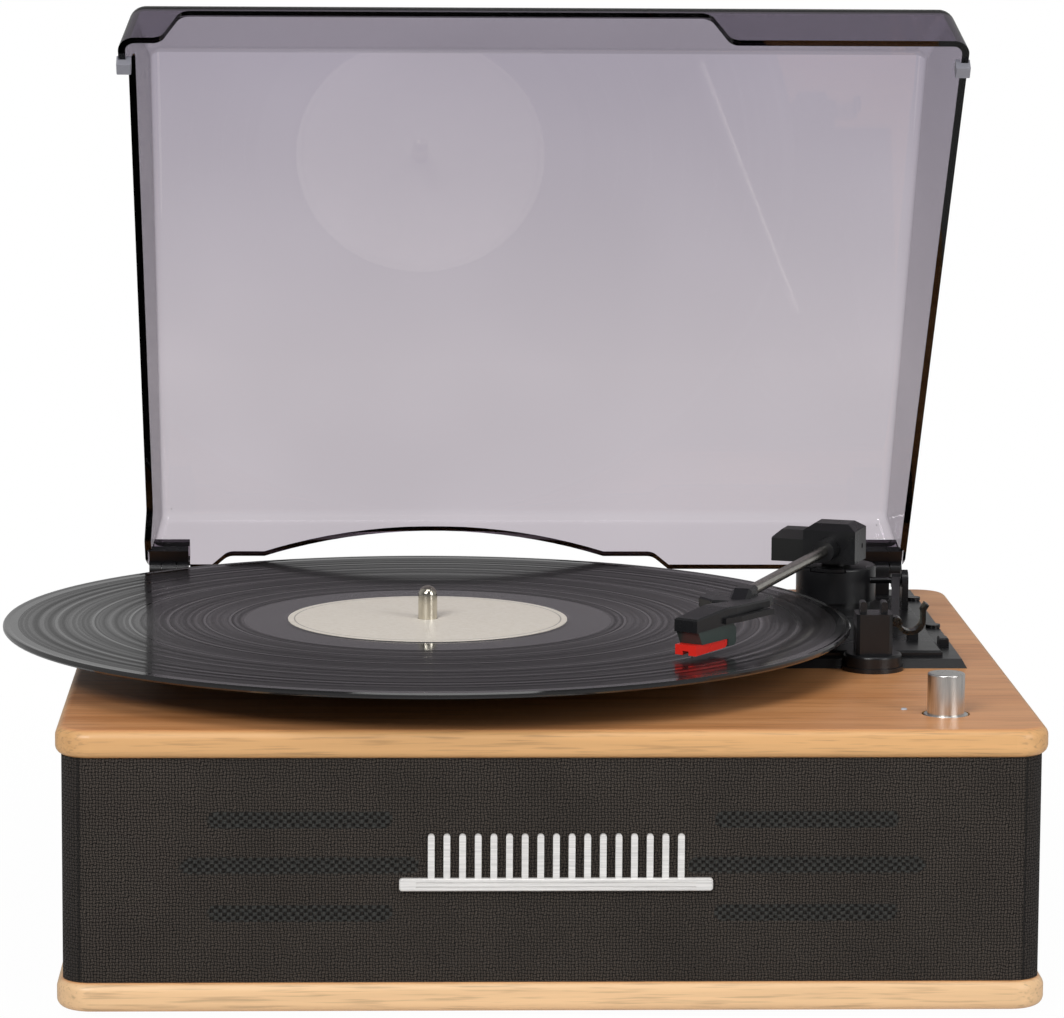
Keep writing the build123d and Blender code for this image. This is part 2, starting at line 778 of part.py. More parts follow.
def drive_belt():
    inside = BELT_GAP
    outside = BELT_GAP + BELT_T
    loop = belt_outline(BELT_HUB_R + outside, PULLEY_R + outside)
    loop -= belt_outline(BELT_HUB_R + inside, PULLEY_R + inside)
    return Pos(0, 0, PLATTER_Z0 + PULLEY_LIFT) * extrude(loop, BELT_W)


# Tonearm. Pieces are drawn about the pivot, pointing at -Y.

def to_arm(shape):
    return Pos(PIVOT_X, PIVOT_Y, 0) * Rot(0, 0, -ARM_YAW) * shape


def arm_turret():
    foot = rod(PIVOT_X, PIVOT_Y, TIER_Z, TIER_Z + TURRET_FOOT_H, TURRET_FOOT_R)
    drum = rod(PIVOT_X, PIVOT_Y, TIER_Z + TURRET_FOOT_H, TURRET_Z, TURRET_R)
    drum = fillet(drum.faces().sort_by(Axis.Z)[-1].edges(), 1.0)
    body = foot + drum
    body -= rod(PIVOT_X, PIVOT_Y, TURRET_Z - YOKE_SHAFT_L - 1, TURRET_Z, YOKE_SHAFT_R + RUN_GAP)
    rod_x0, rod_y0 = lift_rod_place()
    body -= rod(rod_x0, rod_y0, TURRET_Z - LIFT_ROD_L - 1, TURRET_Z, LIFT_ROD_R + RUN_GAP)
    body -= platform_pocket()
    return body - rod_x(cue_shaft_x0() - 1, CUE_X, CUE_Y, CUE_Z, CUE_SHAFT_R + RUN_GAP)


def arm_yoke():
    base_z = TURRET_Z + RUN_GAP
    shaft = rod(0, 0, TURRET_Z - YOKE_SHAFT_L, base_z, YOKE_SHAFT_R)
    flange = rod(0, 0, base_z, base_z + YOKE_FLANGE_T, YOKE_FLANGE_R)
    half_w = YOKE_W / 2
    half_d = YOKE_D / 2
    block = box(-half_w, half_w, -half_d, half_d, base_z + YOKE_FLANGE_T, base_z + YOKE_RISE)
    block -= rod_x(-half_w, half_w, 0, AXLE_Z, AXLE_R)
    return to_arm(shaft + flange + block)


def arm_pivot_pin():
    half = HOUSING_W / 2 - 0.4
    return to_arm(rod_x(-half, half, 0, AXLE_Z, AXLE_R))


def tube_axis():
    start = Vector(0, -HOUSING_FRONT + HOUSING_WALL, AXLE_Z)
    end = Vector(0, TUBE_END_Y, AXLE_Z + TUBE_END_RISE)
    return start, end


def along_tube(radius, start_gap, end):
    start, far = tube_axis()
    heading = (far - start).normalized()
    begin = start + heading * start_gap
    length = (end - begin).length
    return extrude(Plane(begin, z_dir=heading) * Circle(radius), length)


def arm_housing():
    half = HOUSING_W / 2
    shell = box(-half, half, -HOUSING_FRONT, HOUSING_BACK, HOUSING_Z0, HOUSING_Z1)
    crown = shell.faces().sort_by(Axis.Z)[-1].edges()
    shell = chamfer(crown, HOUSING_CHAMFER, HOUSING_CHAMFER * 1.5)
    room_w = YOKE_W / 2 + 0.5
    room_d = YOKE_D / 2 + 1.1
    room_top = TURRET_Z + YOKE_RISE + 1.2
    shell -= box(-room_w, room_w, -room_d, room_d, HOUSING_Z0, room_top)
    shell -= rod_x(-half, half, 0, AXLE_Z, AXLE_R + RUN_GAP)
    start, far = tube_axis()
    heading = (far - start).normalized()
    mouth = start + heading * (HOUSING_WALL + SOCKET_L)
    socket = along_tube(SOCKET_R, HOUSING_WALL - 0.5, mouth)
    bore = along_tube(TUBE_R, 0, mouth)
    return to_arm(shell + socket - bore)


def counterweight():
    right = -HOUSING_W / 2
    left = right - WEIGHT_W
    weight = box(left, right, -HOUSING_FRONT + 1, HOUSING_BACK, HOUSING_Z0, HOUSING_Z0 + WEIGHT_H)
    front_top = weight.edges().filter_by(Axis.X).group_by(Axis.Z)[-1].sort_by(Axis.Y)[0]
    weight = chamfer([front_top], 2.4, 8.0)
    left_top = weight.edges().filter_by(Axis.Y).group_by(Axis.Z)[-1].sort_by(Axis.X)[0]
    return to_arm(chamfer([left_top], 2.0))


def arm_tube():
    return to_arm(along_tube(TUBE_R, 0, tube_axis()[1]))


def to_head(shape):
    """Head pieces are drawn with their front centre at the origin, pointing at -Y."""
    return Pos(HEAD_FRONT_X, HEAD_FRONT_Y, 0) * Rot(0, 0, -HEAD_YAW) * shape


def head_under(y):
    """Height of the headshell's flat underside, where the cartridge is seated."""
    return HEAD_UNDER_Z + HEAD_UNDER_SLOPE * y / HEAD_MID_S


def tube_hood():
    """A raised rib on the wing that closes over the front end of the tube."""
    front = WING_Y1 - HOOD_L
    profile = make_face(Polyline(
        (front, WING_Z0), (front, WING_Z1), (front + HOOD_SLOPE_L, HOOD_Z),
        (WING_Y1, HOOD_Z), (WING_Y1, WING_Z0), close=True,
    ))
    rib = extrude(Plane.YZ * profile, HOOD_W / 2, both=True)
    sides = [e for e in rib.edges() if e.center().Z > WING_Z1 + 1 and abs(e.center().X) > HOOD_W / 4]
    sides = [e for e in sides if abs(e.center().Y - WING_Y1) > 1]
    return chamfer(sides, 1.0)


def headshell():
    outline = make_face(Polyline(
        (-HEAD_FRONT_W / 2, 0), (HEAD_FRONT_W / 2, 0), (HEAD_MID_W / 2, HEAD_MID_S),
        (HEAD_TAIL_X1, HEAD_L), (HEAD_TAIL_X0, HEAD_L), (-HEAD_MID_W / 2, HEAD_MID_S),
        close=True,
    ))
    side = Plane.YZ * make_face(Polyline(
        (0, head_under(0)), (0, HEAD_FRONT_Z), (HEAD_CREST_S, HEAD_CREST_Z),
        (HEAD_L, HEAD_REAR_Z), (HEAD_L, HEAD_REAR_Z - HEAD_TAIL_T),
        (HEAD_MID_S + 2, HEAD_REAR_Z - HEAD_TAIL_T), (HEAD_MID_S, head_under(HEAD_MID_S)),
        close=True,
    ))
    column = Pos(0, 0, HEAD_UNDER_Z - 2) * extrude(outline, 10)
    body = column & extrude(side, HEAD_MID_W, both=True)
    crown = [e for e in body.edges() if e.center().Z > HEAD_FRONT_Z - 0.2]
    crown = [e for e in crown if abs(e.center().X) > 0.5 or e.center().Y < 1]
    body = chamfer(crown, 0.6)
    wing = box(WING_X0, WING_X1, WING_Y0, WING_Y1, WING_Z0, WING_Z1)
    front_left = wing.edges().filter_by(Axis.Z).sort_by_distance((WING_X0, WING_Y0, WING_Z0))[0]
    wing = chamfer([front_left], WING_CUT)
    wing = chamfer(wing.faces().sort_by(Axis.Z)[-1].edges(), 0.6)
    _, tube_end = tube_axis()
    bore = along_tube(TUBE_R, 0, tube_end)
    return to_arm(to_head(body) + wing + tube_hood() - bore)


def finger_lift():
    """A slim bar along the right side of the headshell, for lifting by hand."""
    lean = (HEAD_MID_W - HEAD_FRONT_W) / 2 / HEAD_MID_S
    near = HEAD_FRONT_W / 2 + lean * FINGER_S0
    outline = make_face(Polyline(
        (near, FINGER_S0), (HEAD_MID_W / 2, HEAD_MID_S), (HEAD_MID_W / 2, FINGER_S1),
        (HEAD_MID_W / 2 + FINGER_W, FINGER_S1), (HEAD_MID_W / 2 + FINGER_W, HEAD_MID_S),
        (near + FINGER_W / 2, FINGER_S0), close=True,
    ))
    return to_arm(to_head(Pos(0, 0, FINGER_Z) * extrude(outline, FINGER_T)))


def cartridge():
    half = CARTRIDGE_W / 2
    holder_top = HOLDER_Z + HOLDER_H
    rear_top = head_under(HEAD_MID_S - 1)
    side = Plane.YZ * make_face(Polyline(
        (1.0, head_under(1.0)), (3.6, holder_top), (HOLDER_L + 0.4, holder_top),
        (HOLDER_L + 0.4, HOLDER_Z + 0.8), (CARTRIDGE_L - 1, HOLDER_Z + 0.8),
        (CARTRIDGE_L, HOLDER_Z + 2), (CARTRIDGE_L, rear_top - 2.2), (HEAD_MID_S - 1, rear_top),
        close=True,
    ))
    return to_arm(to_head(extrude(side, half, both=True)))


def cartridge_pins():
    """Four short terminal pins out of the back of the cartridge."""
    z_mid = HOLDER_Z + HOLDER_H + 1.0
    pins = []
    for x in (-PIN_HALF_X, PIN_HALF_X):
        for z in (z_mid - PIN_HALF_Z, z_mid + PIN_HALF_Z):
            pins.append(rod_y(x, CARTRIDGE_L, CARTRIDGE_L + PIN_L, z, PIN_R))
    return solids_of(*[to_arm(to_head(pin)) for pin in pins])


def stylus_holder():
    half = HOLDER_W / 2
    side = Plane.YZ * make_face(Polyline(
        (0.0, HOLDER_Z), (HOLDER_L - 1.2, HOLDER_Z + 0.6), (HOLDER_L, HOLDER_Z + 1.6),
        (HOLDER_L, HOLDER_Z + HOLDER_H), (0.0, HOLDER_Z + HOLDER_H), close=True,
    ))
    shell = extrude(side, half, both=True)
    slot = box(-1.2, 1.2, -1, STYLUS_SETBACK + 5, HOLDER_Z - 1, HOLDER_Z + 1.4)
    return to_arm(to_head(shell - slot))


def stylus():
    tip_z = RECORD_Z1 - RECORD_GROOVE_STEP + STYLUS_LIFT
    root = Vector(0, STYLUS_SETBACK + 5, HOLDER_Z + 0.7)
    tip = Vector(0, STYLUS_SETBACK, tip_z + 0.9)
    heading = (tip - root).normalized()
    cantilever = extrude(Plane(root, z_dir=heading) * Circle(CANTILEVER_R), (tip - root).length)
    needle = Pos(0, STYLUS_SETBACK + 0.2, tip_z + 0.6) * Cone(0.1, 0.45, 1.2)
    return to_arm(to_head(cantilever + needle))


# Cue lever, its shaft and the platform that it raises

def lift_rod_place():
    reach = (PLATFORM_R0 + PLATFORM_R1) / 2
    angle = math.radians(ARM_YAW)
    return PIVOT_X - reach * math.sin(angle), PIVOT_Y - reach * math.cos(angle)


def cue_shaft_x0():
    return PIVOT_X + TURRET_R / 2


def platform_z():
    """Underside of the resting platform; risen, it stands just under the lifted housing."""
    return HOUSING_Z0 + PLATFORM_REACH - PLATFORM_RISE - PLATFORM_T


def platform_sector(inner_r, outer_r, gap):
    """A ring sector about the pivot, centred under the tonearm and wider by gap at each end."""
    half_span = PLATFORM_SPAN / 2 + math.degrees(gap / PLATFORM_R0)
    middle = 270 - ARM_YAW
    rims = []
    for radius in (inner_r, outer_r):
        for turn in (-half_span, 0, half_span):
            angle = math.radians(middle + turn)
            rims.append((radius * math.cos(angle), radius * math.sin(angle)))
    inner0, inner1, inner2, outer0, outer1, outer2 = rims
    return make_face([
        ThreePointArc(inner0, inner1, inner2), Line(inner2, outer2),
        ThreePointArc(outer2, outer1, outer0), Line(outer0, inner0),
    ])


def platform_pocket():
    """The recess in the turret's rim that the resting platform lies in."""
    floor_z = platform_z() - PLATFORM_GAP
    outline = platform_sector(PLATFORM_R0 - PLATFORM_GAP, TURRET_R + 1, PLATFORM_GAP)
    return Pos(PIVOT_X, PIVOT_Y, floor_z) * extrude(outline, TURRET_Z - floor_z)


def lift_platform():
    z0 = platform_z()
    arc = extrude(platform_sector(PLATFORM_R0, PLATFORM_R1, 0), PLATFORM_T)
    x, y = lift_rod_place()
    lift_rod = rod(x, y, TURRET_Z - LIFT_ROD_L, z0, LIFT_ROD_R)
    return Pos(PIVOT_X, PIVOT_Y, z0) * arc + lift_rod


def cue_lever():
    """A slim bar that points forward from its barrel, toed in and drooping a little."""
    half = CUE_BARREL_W / 2
    barrel = rod_x(-half, half, 0, 0, CUE_BARREL_R)
    root = CUE_BAR_H / 2
    tip = CUE_TIP_H / 2
    side = Plane.YZ * make_face(Polyline(
        (0, -root), (0, root), (-CUE_LEVER_L + 3, tip), (-CUE_LEVER_L, tip / 2),
        (-CUE_LEVER_L + 1, -tip), close=True,
    ))
    bar = extrude(side, CUE_BAR_W / 2, both=True)
    bar = Rot(0, 0, -CUE_TOE_IN) * bar
    lever = barrel + bar
    lever -= rod_x(-half - 6, half + 6, 0, 0, CUE_SHAFT_R)
    return Pos(CUE_X, CUE_Y, CUE_Z) * Rot(CUE_DROOP, 0, 0) * lever


def cue_shaft():
    x1 = CUE_X + CUE_BARREL_W / 2 + CUE_BRACKET_T
    return rod_x(cue_shaft_x0(), x1, CUE_Y, CUE_Z, CUE_SHAFT_R)


def cue_bracket():
    x0 = CUE_X + CUE_BARREL_W / 2 + SLIDER_GAP
    half = CUE_BRACKET_D / 2
    post = box(x0, x0 + CUE_BRACKET_T, CUE_Y - half, CUE_Y + half, TIER_Z, CUE_Z)
    crown = rod_x(x0, x0 + CUE_BRACKET_T, CUE_Y, CUE_Z, half)
    return post + crown - rod_x(x0 - 1, x0 + 5, CUE_Y, CUE_Z, CUE_SHAFT_R + RUN_GAP)


# Arm rest and clip

def arm_rest_post():
    z0 = TOP_Z + LOBE_T
    z1 = z0 + POST_FLANGE_H
    flange = rod(POST_X, POST_Y, z0, z1, POST_FLANGE_R)
    flange = fillet(flange.faces().sort_by(Axis.Z)[-1].edges(), 1.0)
    half_w = PILLAR_W / 2
    half_d = PILLAR_D / 2
    pillar = box(POST_X - half_w, POST_X + half_w, POST_Y - half_d, POST_Y + half_d, z1, PILLAR_TOP_Z)
    pillar = chamfer(pillar.edges().filter_by(Axis.Z), 1.2)
    post = flange + pillar
    for side in (-1, 1):
        x0 = POST_X + side * PRONG_GAP / 2
        x1 = x0 + side * PRONG_T
        prong = box(
            min(x0, x1), max(x0, x1), POST_Y - PRONG_D / 2, POST_Y + PRONG_D / 2,
            PILLAR_TOP_Z, PILLAR_TOP_Z + PRONG_H,
        )
        post += fillet(prong.edges().filter_by(Axis.Y).group_by(Axis.Z)[-1], 0.8)
    ear = rod_y(CLIP_X, POST_Y - EAR_W / 2, POST_Y + EAR_W / 2, CLIP_Z, CLIP_BARREL_R)
    ear += box(
        POST_X + half_w - 1, CLIP_X, POST_Y - EAR_W / 2, POST_Y + EAR_W / 2,
        CLIP_Z - CLIP_BARREL_R, CLIP_Z + CLIP_BARREL_R,
    )
    return post + ear - rod_y(CLIP_X, POST_Y - 3, POST_Y + 3, CLIP_Z, CLIP_PIN_R)


def arm_clip():
    """A hook that hangs beside the post and swings over the parked tube."""
    centre_x = CLIP_X + HOOK_R
    centre_z = CLIP_Z + CLIP_BARREL_R / 2
    y0 = POST_Y - CLIP_W / 2
    y1 = POST_Y + CLIP_W / 2
    bowl = rod_y(centre_x, y0, y1, centre_z, HOOK_R + HOOK_T / 2)
    bowl -= rod_y(centre_x, y0, y1, centre_z, HOOK_R - HOOK_T / 2)
    bowl &= box(centre_x - 9, centre_x + 9, y0, y1, centre_z - 9, centre_z)
    right = centre_x + HOOK_R
    upright = box(
        right - HOOK_T / 2, right + HOOK_T / 2, y0, y1, centre_z, centre_z + HOOK_RISE,
    )
    tip_z = centre_z + HOOK_RISE
    tip = Pos(right + 0.4, (y0 + y1) / 2, tip_z + 0.6) * Rot(0, 32, 0) * Box(HOOK_T, CLIP_W, 3.2)
    barrel = rod_y(CLIP_X, y0, y1, CLIP_Z, CLIP_BARREL_R)
    clip = bowl + upright + tip + barrel
    slack = EAR_W / 2 + SLIDER_GAP
    clip -= box(
        CLIP_X - 4, CLIP_X + CLIP_BARREL_R + SLIDER_GAP, POST_Y - slack, POST_Y + slack,
        CLIP_Z - 6, CLIP_Z + 6,
    )
    return clip - rod_y(CLIP_X, y0, y1, CLIP_Z, CLIP_PIN_R + RUN_GAP)


def clip_pin():
    return rod_y(CLIP_X, POST_Y - CLIP_W / 2, POST_Y + CLIP_W / 2, CLIP_Z, CLIP_PIN_R)


def slider(x, y, z):
    """A thumb slider at the near end of its travel, which runs towards +Y."""
    half_w = SLIDER_W / 2
    knob = box(x - half_w, x + half_w, y, y + SLIDER_L, z, z + SLIDER_H)
    knob = fillet(knob.faces().sort_by(Axis.Z)[-1].edges(), 0.7)
    stem_y = y + (SLIDER_L - STEM_L) / 2
    return knob + box(x - STEM_W / 2, x + STEM_W / 2, stem_y, stem_y + STEM_L, z - STEM_H, z)


def slider_slot(x, y, z, travel):
    """The slot in the deck that a slider's stem runs in."""
    half_w = STEM_W / 2 + SLIDER_GAP
    y0 = y + (SLIDER_L - STEM_L) / 2 - SLIDER_GAP
    y1 = y0 + STEM_L + travel + 2 * SLIDER_GAP
    return box(x - half_w, x + half_w, y0, y1, z - STEM_H - SLIDER_GAP, z)


# Lid, in its closed place

def lid_yz(u, w):
    return HINGE_Y - u, HINGE_Z + w


def opened(shape):
    return shape.rotate(Axis((0, HINGE_Y, HINGE_Z), (1, 0, 0)), -LID_OPEN)


def side_profile():
    """The lid's side outline, with the front and rear walls run on below the rim."""
    front_lean = (LID_FRONT_U - LID_BROW_U) / (LID_BROW_W - LID_FRONT_W)
    rear_lean = (LID_BACK_U - LID_REAR_U) / (LID_BACK_W - LID_REAR_W)
    points = [
        (LID_BROW_U + front_lean * (LID_BROW_W + LID_SKIRT), -LID_SKIRT),
        (LID_BROW_U, LID_BROW_W),
        (LID_BEND_U, LID_BEND_W),
        (LID_BACK_U, LID_BACK_W),
        (LID_BACK_U - rear_lean * (LID_BACK_W + LID_SKIRT), -LID_SKIRT),
    ]
    return make_face(Polyline(*[lid_yz(u, w) for u, w in points], close=True))


def lid_body(inset):
    """The lid's outer form, or its hollow when inset is the wall thickness."""
    profile = side_profile()
    if inset > 0:
        profile = offset(profile, -inset, kind=Kind.INTERSECTION)
    across = extrude(Plane.YZ * profile, BOARD_W, both=True)
    lean = (LID_RIM_HALF - LID_PANEL_HALF) / (LID_BEND_W - LID_FRONT_W)
    side_inset = inset * math.hypot(1, lean)
    low = LID_RIM_HALF + lean * (LID_FRONT_W + LID_SKIRT) - side_inset
    high = LID_PANEL_HALF - lean * (LID_SKIRT - LID_BEND_W) - side_inset
    trapezoid = make_face(Polyline(
        (-low, HINGE_Z - LID_SKIRT), (low, HINGE_Z - LID_SKIRT),
        (high, HINGE_Z + LID_SKIRT), (-high, HINGE_Z + LID_SKIRT), close=True,
    ))
    along = extrude(Plane.XZ * trapezoid, 2 * BOARD_D, both=True)
    body = across & along
    floor_z = HINGE_Z - LID_SKIRT + inset
    upper = [e for e in body.edges() if e.center().Z > floor_z + 1]
    return fillet(upper, LID_RADIUS - inset)


def rim_w(u):
    """Height of the lid's lower edge, which slopes down a little to the front."""
    slope = (LID_REAR_W - LID_FRONT_W) / (LID_FRONT_U - LID_REAR_U)
    return LID_REAR_W - slope * (u - LID_REAR_U)


def below_rim():
    front = LID_FRONT_U + LID_SKIRT
    rear = -LID_SKIRT
    deep = -2 * LID_SKIRT
    points = [(front, deep), (front, rim_w(front)), (rear, rim_w(rear)), (rear, deep)]
    face = make_face(Polyline(*[lid_yz(u, w) for u, w in points], close=True))
    return extrude(Plane.YZ * face, BOARD_W, both=True)


def front_recess():
    low = LID_FRONT_W - 0.1
    points = [
        (-BOARD_W, low - LID_SKIRT), (-BOARD_W, low), (RECESS_X0, low),
        (RECESS_X0 + RECESS_RUN, RECESS_W), (RECESS_X1 - RECESS_RUN, RECESS_W),
        (RECESS_X1, low), (BOARD_W, low), (BOARD_W, low - LID_SKIRT),
    ]
    face = rounded_polygon(points, (0, 0, RECESS_R, RECESS_R, RECESS_R, RECESS_R, 0, 0))
    cutter = extrude(Plane.XZ * Pos(0, HINGE_Z, 0) * face, 12, both=True)
    return Pos(0, HINGE_Y - LID_FRONT_U, 0) * cutter


def left_wall_cut():
    points = [
        (LEFT_CUT_FRONT_U + 20, -LID_SKIRT), (LEFT_CUT_FRONT_U + 20, rim_w(LEFT_CUT_FRONT_U) - 0.6),
        (LEFT_CUT_FRONT_U, rim_w(LEFT_CUT_FRONT_U) - 0.2), (LEFT_CUT_FRONT_U - 5, LEFT_CUT_W),
        (LEFT_CUT_REAR_U + 11, LEFT_CUT_W), (LEFT_CUT_REAR_U, rim_w(LEFT_CUT_REAR_U)),
        (LEFT_CUT_REAR_U - 12, rim_w(LEFT_CUT_REAR_U)), (LEFT_CUT_REAR_U - 12, -LID_SKIRT),
    ]
    corners = [lid_yz(u, w) for u, w in points]
    face = rounded_polygon(corners, (0, 0, 2, 4, 6, 3, 0, 0))
    reach = LID_RIM_HALF - LID_PANEL_HALF + 4 * LID_T
    return Pos(-LID_RIM_HALF - 2, 0, 0) * extrude(Plane.YZ * face, reach)


def rear_arch():
    low = LID_REAR_W - 0.1
    peak_x = (ARCH_LEFT_X + ARCH_RIGHT_X) / 2
    path = [
        Polyline(
            (ARCH_LEFT_X, SHOULDER_W), (ARCH_X0 + SHOULDER_RUN, SHOULDER_W), (ARCH_X0, low),
            (ARCH_X0 - 6, low), (ARCH_X0 - 6, -LID_SKIRT), (ARCH_X1 + 6, -LID_SKIRT),
            (ARCH_X1 + 6, low), (ARCH_X1, low), (ARCH_X1 - SHOULDER_RUN, SHOULDER_W),
            (ARCH_RIGHT_X, SHOULDER_W),
        ),
        ThreePointArc((ARCH_RIGHT_X, SHOULDER_W), (peak_x, ARCH_W), (ARCH_LEFT_X, SHOULDER_W)),
    ]
    face = make_face(path)
    for corner_x in (ARCH_X0 + SHOULDER_RUN, ARCH_X1 - SHOULDER_RUN):
        corner = face.vertices().sort_by_distance((corner_x, SHOULDER_W, 0))[0]
        face = fillet([corner], 5.0)
    cutter = extrude(Plane.XZ * Pos(0, HINGE_Z, 0) * face, 12, both=True)
    return Pos(0, HINGE_Y, 0) * cutter


def lid_cover():
    shell = lid_body(0) - lid_body(LID_T) - below_rim()
    shell = shell - front_recess() - left_wall_cut() - rear_arch()
    for side in (-1, 1):
        x0, x1 = sorted((side * HINGE_X0, side * HINGE_X1))
        near_y, near_z = lid_yz(BOSS_U1, BOSS_W0)
        far_y, _ = lid_yz(LID_REAR_U + 0.4, 0)
        shell += box(x0, x1, near_y, far_y, near_z, HINGE_Z + BOSS_W1)
        shell -= box(x0, x1, near_y, far_y + 6, HINGE_Z - LID_SKIRT, near_z)
    return opened(shell)


def lid_bumpers(cover):
    """Soft clips over the side rims that meet the top board when the lid is shut."""
    rim = rim_w(BUMPER_U)
    y1, z1 = lid_yz(BUMPER_U - BUMPER_L / 2, rim + BUMPER_UP)
    y0, _ = lid_yz(BUMPER_U + BUMPER_L / 2, 0)
    inner = LID_RIM_HALF - LID_T - BUMPER_IN
    outer = LID_RIM_HALF + BUMPER_OUT
    clips = []
    for side in (-1, 1):
        x0, x1 = sorted((side * inner, side * outer))
        clip = box(x0, x1, y0, y1, TOP_Z + BUMPER_GAP, z1)
        clip = fillet(clip.edges().filter_by(Axis.Y), 0.5)
        clips.append(opened(clip) - cover)
    return solids_of(*clips)


def hinge_arm(side):
    x0, x1 = sorted((side * (HINGE_X0 + HINGE_END_GAP), side * (HINGE_X1 - HINGE_END_GAP)))
    k0, k1 = sorted((side * (KNUCKLE_X0 - KNUCKLE_GAP), side * (KNUCKLE_X1 + KNUCKLE_GAP)))
    front_y, _ = lid_yz(BOSS_U1, 0)
    arm = rod_x(x0, x1, HINGE_Y, HINGE_Z, BARREL_R)
    arm += box(x0, x1, front_y, HINGE_Y + BARREL_R - 1, HINGE_Z + 0.6, HINGE_Z + BOSS_W0)
    arm -= rod_x(k0, k1, HINGE_Y, HINGE_Z, BARREL_R + KNUCKLE_GAP)
    arm -= box(
        k0, k1, HINGE_Y - BARREL_R - KNUCKLE_GAP, HINGE_Y + BARREL_R + 1, HINGE_Z, HINGE_Z + BOSS_W0,
    )
    arm -= rod_x(x0, x1, HINGE_Y, HINGE_Z, HINGE_PIN_R + RUN_GAP)
    return opened(arm)


def hinge_base(side):
    f0, f1 = sorted((side * HINGE_FOOT_X0, side * HINGE_FOOT_X1))
    k0, k1 = sorted((side * KNUCKLE_X0, side * KNUCKLE_X1))
    foot_y = HINGE_Y - HINGE_FOOT_D / 3
    foot = box(f0, f1, foot_y, foot_y + HINGE_FOOT_D, TOP_Z, TOP_Z + HINGE_FOOT_T)
    foot = fillet(foot.edges().filter_by(Axis.Z), 2.5)
    post = box(k0, k1, HINGE_Y - BARREL_R, HINGE_Y + BARREL_R, TOP_Z, HINGE_Z)
    knuckle = rod_x(k0, k1, HINGE_Y, HINGE_Z, BARREL_R)
    return foot + post + knuckle - rod_x(k0, k1, HINGE_Y, HINGE_Z, HINGE_PIN_R)


def hinge_pins():
    pins = []
    for side in (-1, 1):
        x0, x1 = sorted((side * (HINGE_X0 + HINGE_END_GAP), side * (HINGE_X1 - HINGE_END_GAP)))
        pins.append(rod_x(x0, x1, HINGE_Y, HINGE_Z, HINGE_PIN_R))
    return solids_of(*pins)


# Volume control and lamp

def volume_knob():
    z0 = TOP_Z - KNOB_SINK
    z1 = TOP_Z + KNOB_H
    body = rod(KNOB_X, KNOB_Y, z0 + KNOB_SKIRT_T, z1, KNOB_R)
    body = fillet(body.faces().sort_by(Axis.Z)[-1].edges(), 0.6)
    skirt = rod(KNOB_X, KNOB_Y, z0, z0 + KNOB_SKIRT_T, KNOB_SKIRT_R)
    skirt = fillet(skirt.faces().sort_by(Axis.Z)[-1].edges(), 0.5)
    return body + skirt - rod(KNOB_X, KNOB_Y, z0, z0 + POT_SHAFT_GRIP, POT_SHAFT_R)


def pot_shaft():
    z0 = BODY_Z1 - POT_PLATE_T - POT_BODY_H / 2
    return rod(KNOB_X, KNOB_Y, z0, TOP_Z - KNOB_SINK + POT_SHAFT_GRIP, POT_SHAFT_R)


def potentiometer():
    plate_z = BODY_Z1 - POT_PLATE_T
    half = POT_PLATE / 2
    plate = box(KNOB_X - half, KNOB_X + half, KNOB_Y - half, KNOB_Y + half, plate_z, BODY_Z1)
    body = rod(KNOB_X, KNOB_Y, plate_z - POT_BODY_H, plate_z, POT_BODY_R)
    bush = rod(KNOB_X, KNOB_Y, BODY_Z1, BODY_Z1 + POT_BUSH_H, POT_BUSH_R)
    bore_z = BODY_Z1 - POT_PLATE_T - POT_BODY_H / 2 - 0.2
    return plate + body + bush - rod(
        KNOB_X, KNOB_Y, bore_z, BODY_Z1 + POT_BUSH_H, POT_SHAFT_R + RUN_GAP
    )


def power_led():
    lens = rod(LED_X, LED_Y, TOP_Z - LED_H, TOP_Z + LED_RISE, LED_R)
    return fillet(lens.faces().sort_by(Axis.Z)[-1].edges(), LED_RISE)


# Speakers, amplifier and rear connections

def to_speaker(shape, side):
    """Speaker parts are turned about +Z with the flange at 0, then faced forward."""
    return Pos(side * SLOT_GROUP_X, BAFFLE_BACK_Y, SLOT_MID_Z) * Rot(-90, 0, 0) * shape


def speaker(side):
    t = BASKET_T
    back = SPEAKER_DEPTH
    outline = [
        (SPEAKER_MOUTH_R, 0), (SPEAKER_FLANGE_R, 0), (SPEAKER_FLANGE_R, SPEAKER_FLANGE_T),
        (SPEAKER_MOUTH_R + t, SPEAKER_FLANGE_T), (SPEAKER_NECK_R + t, back),
        (MAGNET_R, back), (MAGNET_R, back + MAGNET_T), (0, back + MAGNET_T), (0, back - t),
        (SPEAKER_NECK_R, back - t),
    ]
    return to_speaker(turned(outline, 0, 0), side)


def speaker_cone(side):
    rim = SPEAKER_MOUTH_R - CONE_RIM_GAP
    outline = [
        (rim, 0.2), (rim, 0.2 + CONE_T), (rim - 3, 0.2 + CONE_T),
        (CONE_THROAT_R, CONE_DEPTH + CONE_T), (CONE_THROAT_R, SPEAKER_DEPTH - BASKET_T),
        (0, SPEAKER_DEPTH - BASKET_T), (0, CONE_DEPTH - 2), (CONE_THROAT_R, CONE_DEPTH), (rim - 3, 0.2),
    ]
    return to_speaker(turned(outline, 0, 0), side)


def heat_sink(x0, y0, z0):
    """A block with upright cooling gaps open to the front."""
    sink = box(x0, x0 + HEAT_SINK_W, y0, y0 + HEAT_SINK_D, z0, z0 + HEAT_SINK_H)
    pitch = (HEAT_SINK_W - HEAT_SINK_GAP) / HEAT_SINK_GAPS
    for index in range(HEAT_SINK_GAPS):
        x = x0 + HEAT_SINK_GAP + pitch * index
        back_y = y0 + HEAT_SINK_D - HEAT_SINK_BACK_T
        sink -= box(x, x + HEAT_SINK_GAP, y0, back_y, z0, z0 + HEAT_SINK_H)
    return sink


